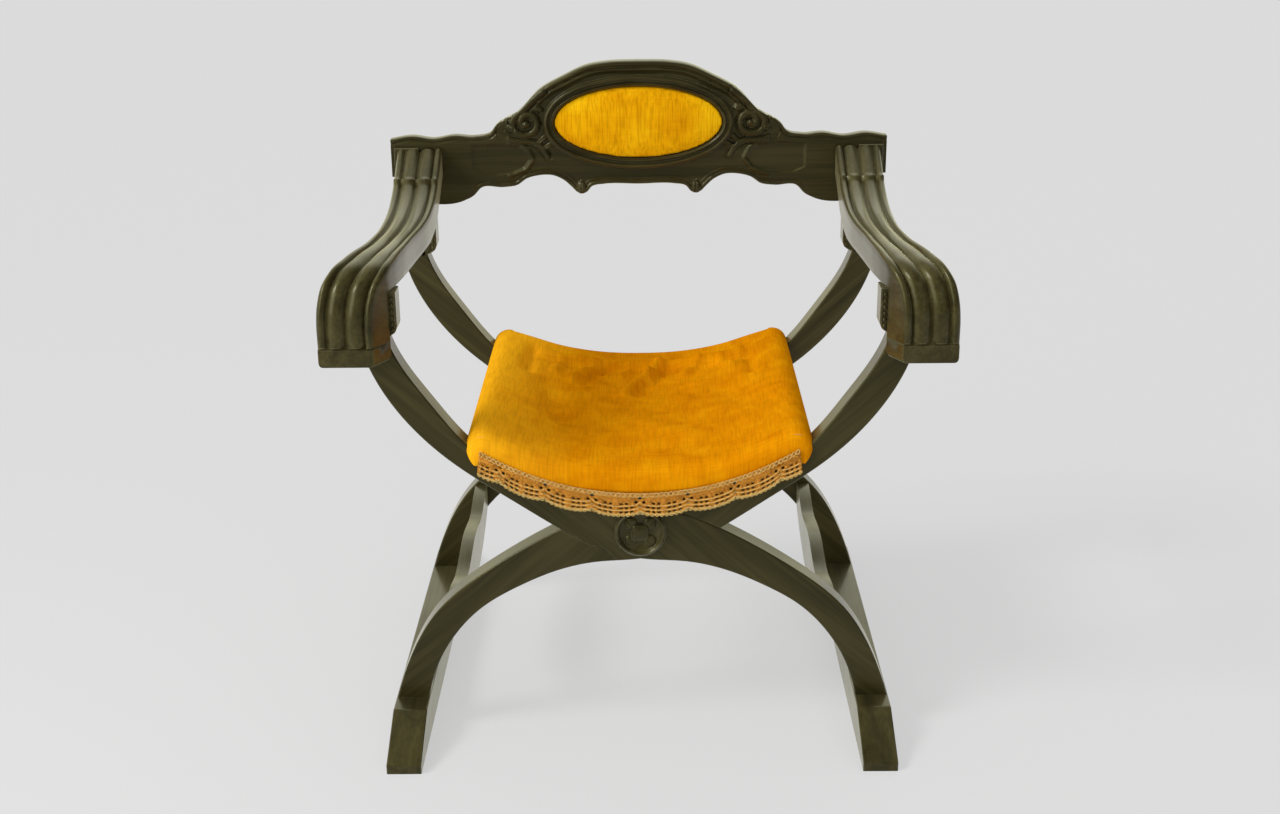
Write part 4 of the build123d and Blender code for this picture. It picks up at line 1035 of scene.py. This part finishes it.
def makeLace():
    tree, start, node, finish = startTree("laceRun", {
        "Pitch": ("Float", 0.054), "Repeats": ("Int", 7), "Arc Radius": ("Float", 0.36),
                                                      "Low Edge": ("Float", 0.286),
        "Front": ("Float", -0.211), "Spread": ("Float", 0.25), "Finish": ("Material", None)})
    less = node("ShaderNodeMath", {0: start.outputs["Repeats"], 1: 1.0}, operation="SUBTRACT")
    span = node("ShaderNodeMath", {0: less.outputs[0], 1: start.outputs["Pitch"]}, operation="MULTIPLY")
    begin = node("ShaderNodeMath", {0: span.outputs[0], 1: -0.5}, operation="MULTIPLY")
    line = node("GeometryNodeMeshLine", {
        "Count": start.outputs["Repeats"],
        "Start Location": node("ShaderNodeCombineXYZ", {"X": begin.outputs[0]}).outputs[0],
        "Offset": node("ShaderNodeCombineXYZ", {"X": start.outputs["Pitch"]}).outputs[0]})
    copies = node("GeometryNodeInstanceOnPoints",
                  {"Points": line.outputs[0], "Instance": start.outputs["Geometry"]})
    flat = node("GeometryNodeRealizeInstances", {"Geometry": copies.outputs[0]})
    place = node("ShaderNodeSeparateXYZ", {0: node("GeometryNodeInputPosition").outputs[0]})
    turn = node("ShaderNodeMath", {0: place.outputs[0], 1: start.outputs["Arc Radius"]}, operation="DIVIDE")
    fan = node("ShaderNodeMath", {0: place.outputs[2], 1: start.outputs["Spread"]}, operation="MULTIPLY")
    reach = node("ShaderNodeMath", {0: start.outputs["Arc Radius"], 1: fan.outputs[0]}, operation="SUBTRACT")
    sine = node("ShaderNodeMath", {0: turn.outputs[0]}, operation="SINE")
    cosine = node("ShaderNodeMath", {0: turn.outputs[0]}, operation="COSINE")
    newX = node("ShaderNodeMath", {0: sine.outputs[0], 1: reach.outputs[0]}, operation="MULTIPLY")
    fall = node("ShaderNodeMath", {0: cosine.outputs[0], 1: start.outputs["Arc Radius"]},
                operation="MULTIPLY")
    centre = node("ShaderNodeMath", {0: start.outputs["Low Edge"], 1: start.outputs["Arc Radius"]},
                  operation="ADD")
    above = node("ShaderNodeMath", {0: centre.outputs[0], 1: place.outputs[2]}, operation="ADD")
    newZ = node("ShaderNodeMath", {0: above.outputs[0], 1: fall.outputs[0]}, operation="SUBTRACT")
    newY = node("ShaderNodeMath", {0: place.outputs[1], 1: start.outputs["Front"]}, operation="ADD")
    moved = node("GeometryNodeSetPosition", {
        "Geometry": flat.outputs[0],
        "Position": node("ShaderNodeCombineXYZ",
                         {"X": newX.outputs[0], "Y": newY.outputs[0], "Z": newZ.outputs[0]}).outputs[0]})
    finish(moved.outputs[0], None)
    plate, cords = laceMotif()
    for obj, finishName in ((plate, "lace"), (cords, "cord")):
        runTree(obj, tree,
                {"Finish": finishes[finishName], "Pitch": lace["pitch"] * mm, "Repeats": lace["repeats"],
                            "Arc Radius": lace["arcRadius"] * mm, "Low Edge": lace["lowEdge"] * mm,
                            "Front": lace["front"] * mm, "Spread": lace["spread"]})
    shell = plate.modifiers.new("thickness", "SOLIDIFY")
    shell.thickness = lace["thick"] * mm
    shell.offset = 0
    plainMesh(plate)
    for obj in (plate, cords):
        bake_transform(obj)
    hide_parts("lace_trim")


# ---- brackets ----

bracket = {
    "inner": 269, "post": 289.2, "straight": 512, "foot": 498, "tops": {"front": 551.7, "rear": 570.7},
    "back": {"front": -170, "rear": 200}, "deep": 30, "round": 1.4, "stripFrom": 1.8, "stripWide": 7.6,
           "stripSink": 1.6,
    "beads": 6, "beadLow": 509, "beadPitch": 7.2, "beadRadius": 2.6, "beadFrom": 5.0,
}


def makeBrackets():
    tree, start, node, finish = startTree("beadColumn", {
        "Count": ("Int", 6), "First": ("Vector", (0, 0, 0)), "Pitch": ("Float", 0.0072)})
    line = node("GeometryNodeMeshLine",
                {"Count": start.outputs["Count"], "Start Location": start.outputs["First"],
                                         "Offset": node("ShaderNodeCombineXYZ",
                                                        {"Z": start.outputs["Pitch"]}).outputs[0]})
    row = node("GeometryNodeInstanceOnPoints",
               {"Points": line.outputs[0], "Instance": start.outputs["Geometry"]})
    finish(row.outputs[0], finishes["arm"])
    turns = np.linspace(0, 2 * math.pi, 12, endpoint=False)
    ball = [[(r * math.cos(a), -h, r * math.sin(a)) for a in turns] for r, h in
            ((1, -0.4), (1, 0), (0.92, 0.4), (0.7, 0.72), (0.38, 0.93), (0.1, 1.0))]
    for frameName, top in bracket["tops"].items():
        for sideName, side in sides.items():
            foot = smoothRun([(bracket["inner"], bracket["straight"]), (271.5, 505.6), (278, 501.0),
                              (bracket["post"], bracket["foot"])], 12)
            line = [(bracket["inner"], top)] + [(bracket["inner"], z)
                                                for z in np.linspace(top - 3, bracket["straight"] + 1, 12)]
            line += [tuple(p) for p in foot]
            front = bracket["back"][frameName] - bracket["deep"]
            rings = []
            for x, z in line:
                wide = bracket["post"] - x
                across = [(0, bracket["back"][frameName] - bracket["round"]), (0, front + bracket["round"]),
                          (bracket["round"], front)]
                if wide > 12:
                    a, b = bracket["stripFrom"], bracket["stripFrom"] + bracket["stripWide"]
                    across += [(a + 0.3, front), (a + 0.9, front + bracket["stripSink"]),
                               (b - 0.6, front + bracket["stripSink"]), (b, front)]
                else:
                    across += [(wide * k, front) for k in (0.3, 0.45, 0.6, 0.75)]
                across += [(wide, front), (wide, bracket["back"][frameName]),
                           (bracket["round"], bracket["back"][frameName])]
                rings.append([(side * (x + min(d, wide)), y, z) for d, y in across])
            points, faces, caps = loft(rings)
            body = makePiece(f"{frameName}{sideName.title()}Bracket", points * mm, faces + caps,
                             finishes["arm"], 40)
            ballPoints, ballFaces, ballCaps = loft([[tuple(c * bracket["beadRadius"] for c in p)
                                                     for p in ring] for ring in ball])
            beads = makePiece(f"{frameName}{sideName.title()}Beads", ballPoints * mm, ballFaces + ballCaps,
                              finishes["arm"], 60)
            first = (side * (bracket["inner"] + bracket["beadFrom"]) * mm,
                     (front + bracket["stripSink"]) * mm,
                     bracket["beadLow"] * mm)
            runTree(beads, tree,
                    {"Count": bracket["beads"], "First": first, "Pitch": bracket["beadPitch"] * mm})
            for obj in (body, beads):
                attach(obj, leafOf[sideName])
            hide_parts(f"{frameName}_{sideName}_bracket")


# ---- rosettes ----

rosette = {
    "petals": 4, "centreZ": 262, "face": 200, "firstPetal": 45,
    "profile": [(30, 0), (30, 4.5), (29.2, 6.8), (27.2, 8), (25.2, 6.8), (24.3, 4.0), (23.2, 3.0),
                (10.5, 2.4), (9.8, 5.6),
                (8.6, 6.8), (4, 7.6), (1.2, 8.0)],
    "squareInside": 11, "square": 5,
    "petalIn": 8.0, "petalOut": 23.0, "petalWide": 9.0, "petalHigh": 4.6,
}


def makeRosettes():
    petalPoints, petalFaces = [], []
    long, wide = 12, 9
    for i in range(long + 1):
        u = i / long
        width = rosette["petalWide"] * math.sin(math.pi * (0.08 + 0.84 * u)) ** 0.8
        for j in range(wide + 1):
            v = 2 * j / wide - 1
            lift = rosette["petalHigh"] * (1 - v * v) ** 0.5 * math.sin(math.pi * (0.1 + 0.8 * u)) ** 0.6
            lift -= 1.2 * math.exp(-(v / 0.22) ** 2)
            petalPoints.append((rosette["petalIn"] + (rosette["petalOut"] - rosette["petalIn"]) * u,
                                v * width, lift + 1.4))
    n = len(petalPoints)
    petalPoints += [(x, y, 1.0) for x, y, _ in petalPoints]
    for i in range(long):
        for j in range(wide):
            a = i * (wide + 1) + j
            quad = (a, a + 1, a + wide + 2, a + wide + 1)
            petalFaces += [quad, tuple(n + k for k in reversed(quad))]
    rim = [j for j in range(wide + 1)] + [(i + 1) * (wide + 1) + wide for i in range(long)]
    rim += [long * (wide + 1) + j for j in range(wide - 1, -1, -1)] + [i * (wide + 1)
                                                                       for i in range(long - 1, 0, -1)]
    petalFaces += [(a, n + a, n + b, b) for a, b in zip(rim, rim[1:] + rim[:1])]
    tree, start, node, finish = startTree("petalRing", {"Petals": ("Int", 4), "First Turn": ("Float", 0.78)})
    circle = node("GeometryNodeMeshCircle", {"Vertices": start.outputs["Petals"], "Radius": 0.0001})
    full = node("ShaderNodeMath", {0: 2 * math.pi, 1: start.outputs["Petals"]}, operation="DIVIDE")
    step = node("ShaderNodeMath", {0: node("GeometryNodeInputIndex").outputs[0], 1: full.outputs[0]},
                operation="MULTIPLY")
    angle = node("ShaderNodeMath", {0: step.outputs[0], 1: start.outputs["First Turn"]}, operation="ADD")
    turn = node("ShaderNodeCombineXYZ", {"Z": angle.outputs[0]})
    ring = node("GeometryNodeInstanceOnPoints",
                {"Points": circle.outputs[0], "Instance": start.outputs["Geometry"],
                                                 "Rotation": turn.outputs[0]})
    finish(ring.outputs[0], finishes["riseRight"])
    petals = makePiece("petals", np.array(petalPoints) * mm, petalFaces, finishes["riseRight"], 60)
    runTree(petals, tree, {"Petals": rosette["petals"], "First Turn": math.radians(rosette["firstPetal"])})
    co = np.array([v.co for v in petals.data.vertices])
    petalList = [tuple(p.vertices) for p in petals.data.polygons]
    turns = np.linspace(0, 2 * math.pi, 72, endpoint=False)
    n = rosette["square"]
    rings = []
    for r, h in rosette["profile"]:
        square = [(abs(math.cos(a)) ** n + abs(math.sin(a)) ** n) ** (-1 / n) if r < rosette["squareInside"]
                  else 1
                  for a in turns]
        rings.append([(r * k * math.cos(a), r * k * math.sin(a), h) for a, k in zip(turns, square)])
    body, faces, caps = loft(rings)
    for name, way in (("front", -1), ("rear", 1)):
        both = np.vstack([body * mm, co])
        allFaces = faces + caps + [tuple(len(body) + i for i in f) for f in petalList]
        points = np.column_stack([both[:, 0], way * (rosette["face"] * mm + both[:, 2]),
                                  rosette["centreZ"] * mm + both[:, 1]])
        obj = makePiece(f"{name}Rosette", points, allFaces, finishes["riseRight"], 50)
        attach(obj, "left_leaf")
        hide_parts(f"{name}_rosette")
    bpy.data.objects.remove(petals)


# ---- tacks ----

tack = {"count": 9, "first": -158, "last": 158, "reach": 19.7, "angle": -38, "radius": 3.6, "high": 1.7}


def makeTacks():
    tree, start, node, finish = startTree("tackRow", {
        "Count": ("Int", 9), "First": ("Vector", (0, 0, 0)), "Step": ("Vector", (0, 0.04, 0)),
                                                      "Lean": ("Float", 0.0)})
    line = node("GeometryNodeMeshLine",
                {"Count": start.outputs["Count"], "Start Location": start.outputs["First"],
                                         "Offset": start.outputs["Step"]})
    turn = node("ShaderNodeCombineXYZ", {"Y": start.outputs["Lean"]})
    row = node("GeometryNodeInstanceOnPoints",
               {"Points": line.outputs[0], "Instance": start.outputs["Geometry"],
                                                "Rotation": turn.outputs[0]})
    finish(row.outputs[0], finishes["brass"])
    dome = [(tack["radius"] * math.cos(a), tack["high"] * math.sin(a)) for a in np.linspace(0, 1.45, 6)]
    turns = np.linspace(0, 2 * math.pi, 14, endpoint=False)
    rings = [[(0.8 * math.cos(a), 0.8 * math.sin(a), -6) for a in turns],
             [(0.8 * math.cos(a), 0.8 * math.sin(a), 0) for a in turns]]
    rings += [[(r * math.cos(a), r * math.sin(a), h) for a in turns] for r, h in dome]
    points, faces, caps = loft(rings)
    lean = math.radians(tack["angle"])
    for sideName, side in sides.items():
        obj = makePiece(f"{sideName}Tacks", points * mm, faces + caps, finishes["brass"], 50)
        out = (side * math.cos(lean), math.sin(lean))
        first = ((side * seat["railX"] + tack["reach"] * out[0]) * mm, tack["first"] * mm,
                 (seat["railZ"] + tack["reach"] * out[1]) * mm)
        step = (0, (tack["last"] - tack["first"]) / (tack["count"] - 1) * mm, 0)
        runTree(obj, tree, {"Count": tack["count"], "First": first, "Step": step,
                            "Lean": math.atan2(out[0], out[1])})
        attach(obj, leafOf[sideName])
        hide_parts(f"{sideName}_seat_tacks")


# ---- floor ----

def makeFloor():
    size = 40.0
    obj = makePiece("floor", [(-size, -size, 0), (size, -size, 0), (size, size, 0), (-size, size, 0)],
                    [(0, 1, 2, 3)],
                    floorFinish(), turnOut=False)


setCamera()
setLights()
makeFloor()
print("studio set")
finishNodes()
for sideName in sides:
    makeArm(sideName)
makeBrackets()
print("arms and brackets made")
makeCrest()
makeOvalMoulding()
makeBackPad()
print("crest made")
makeSeatVelvet()
makeSling()
makeLace()
makeTacks()
makeRosettes()
print("seat, lace, tacks and rosettes made")
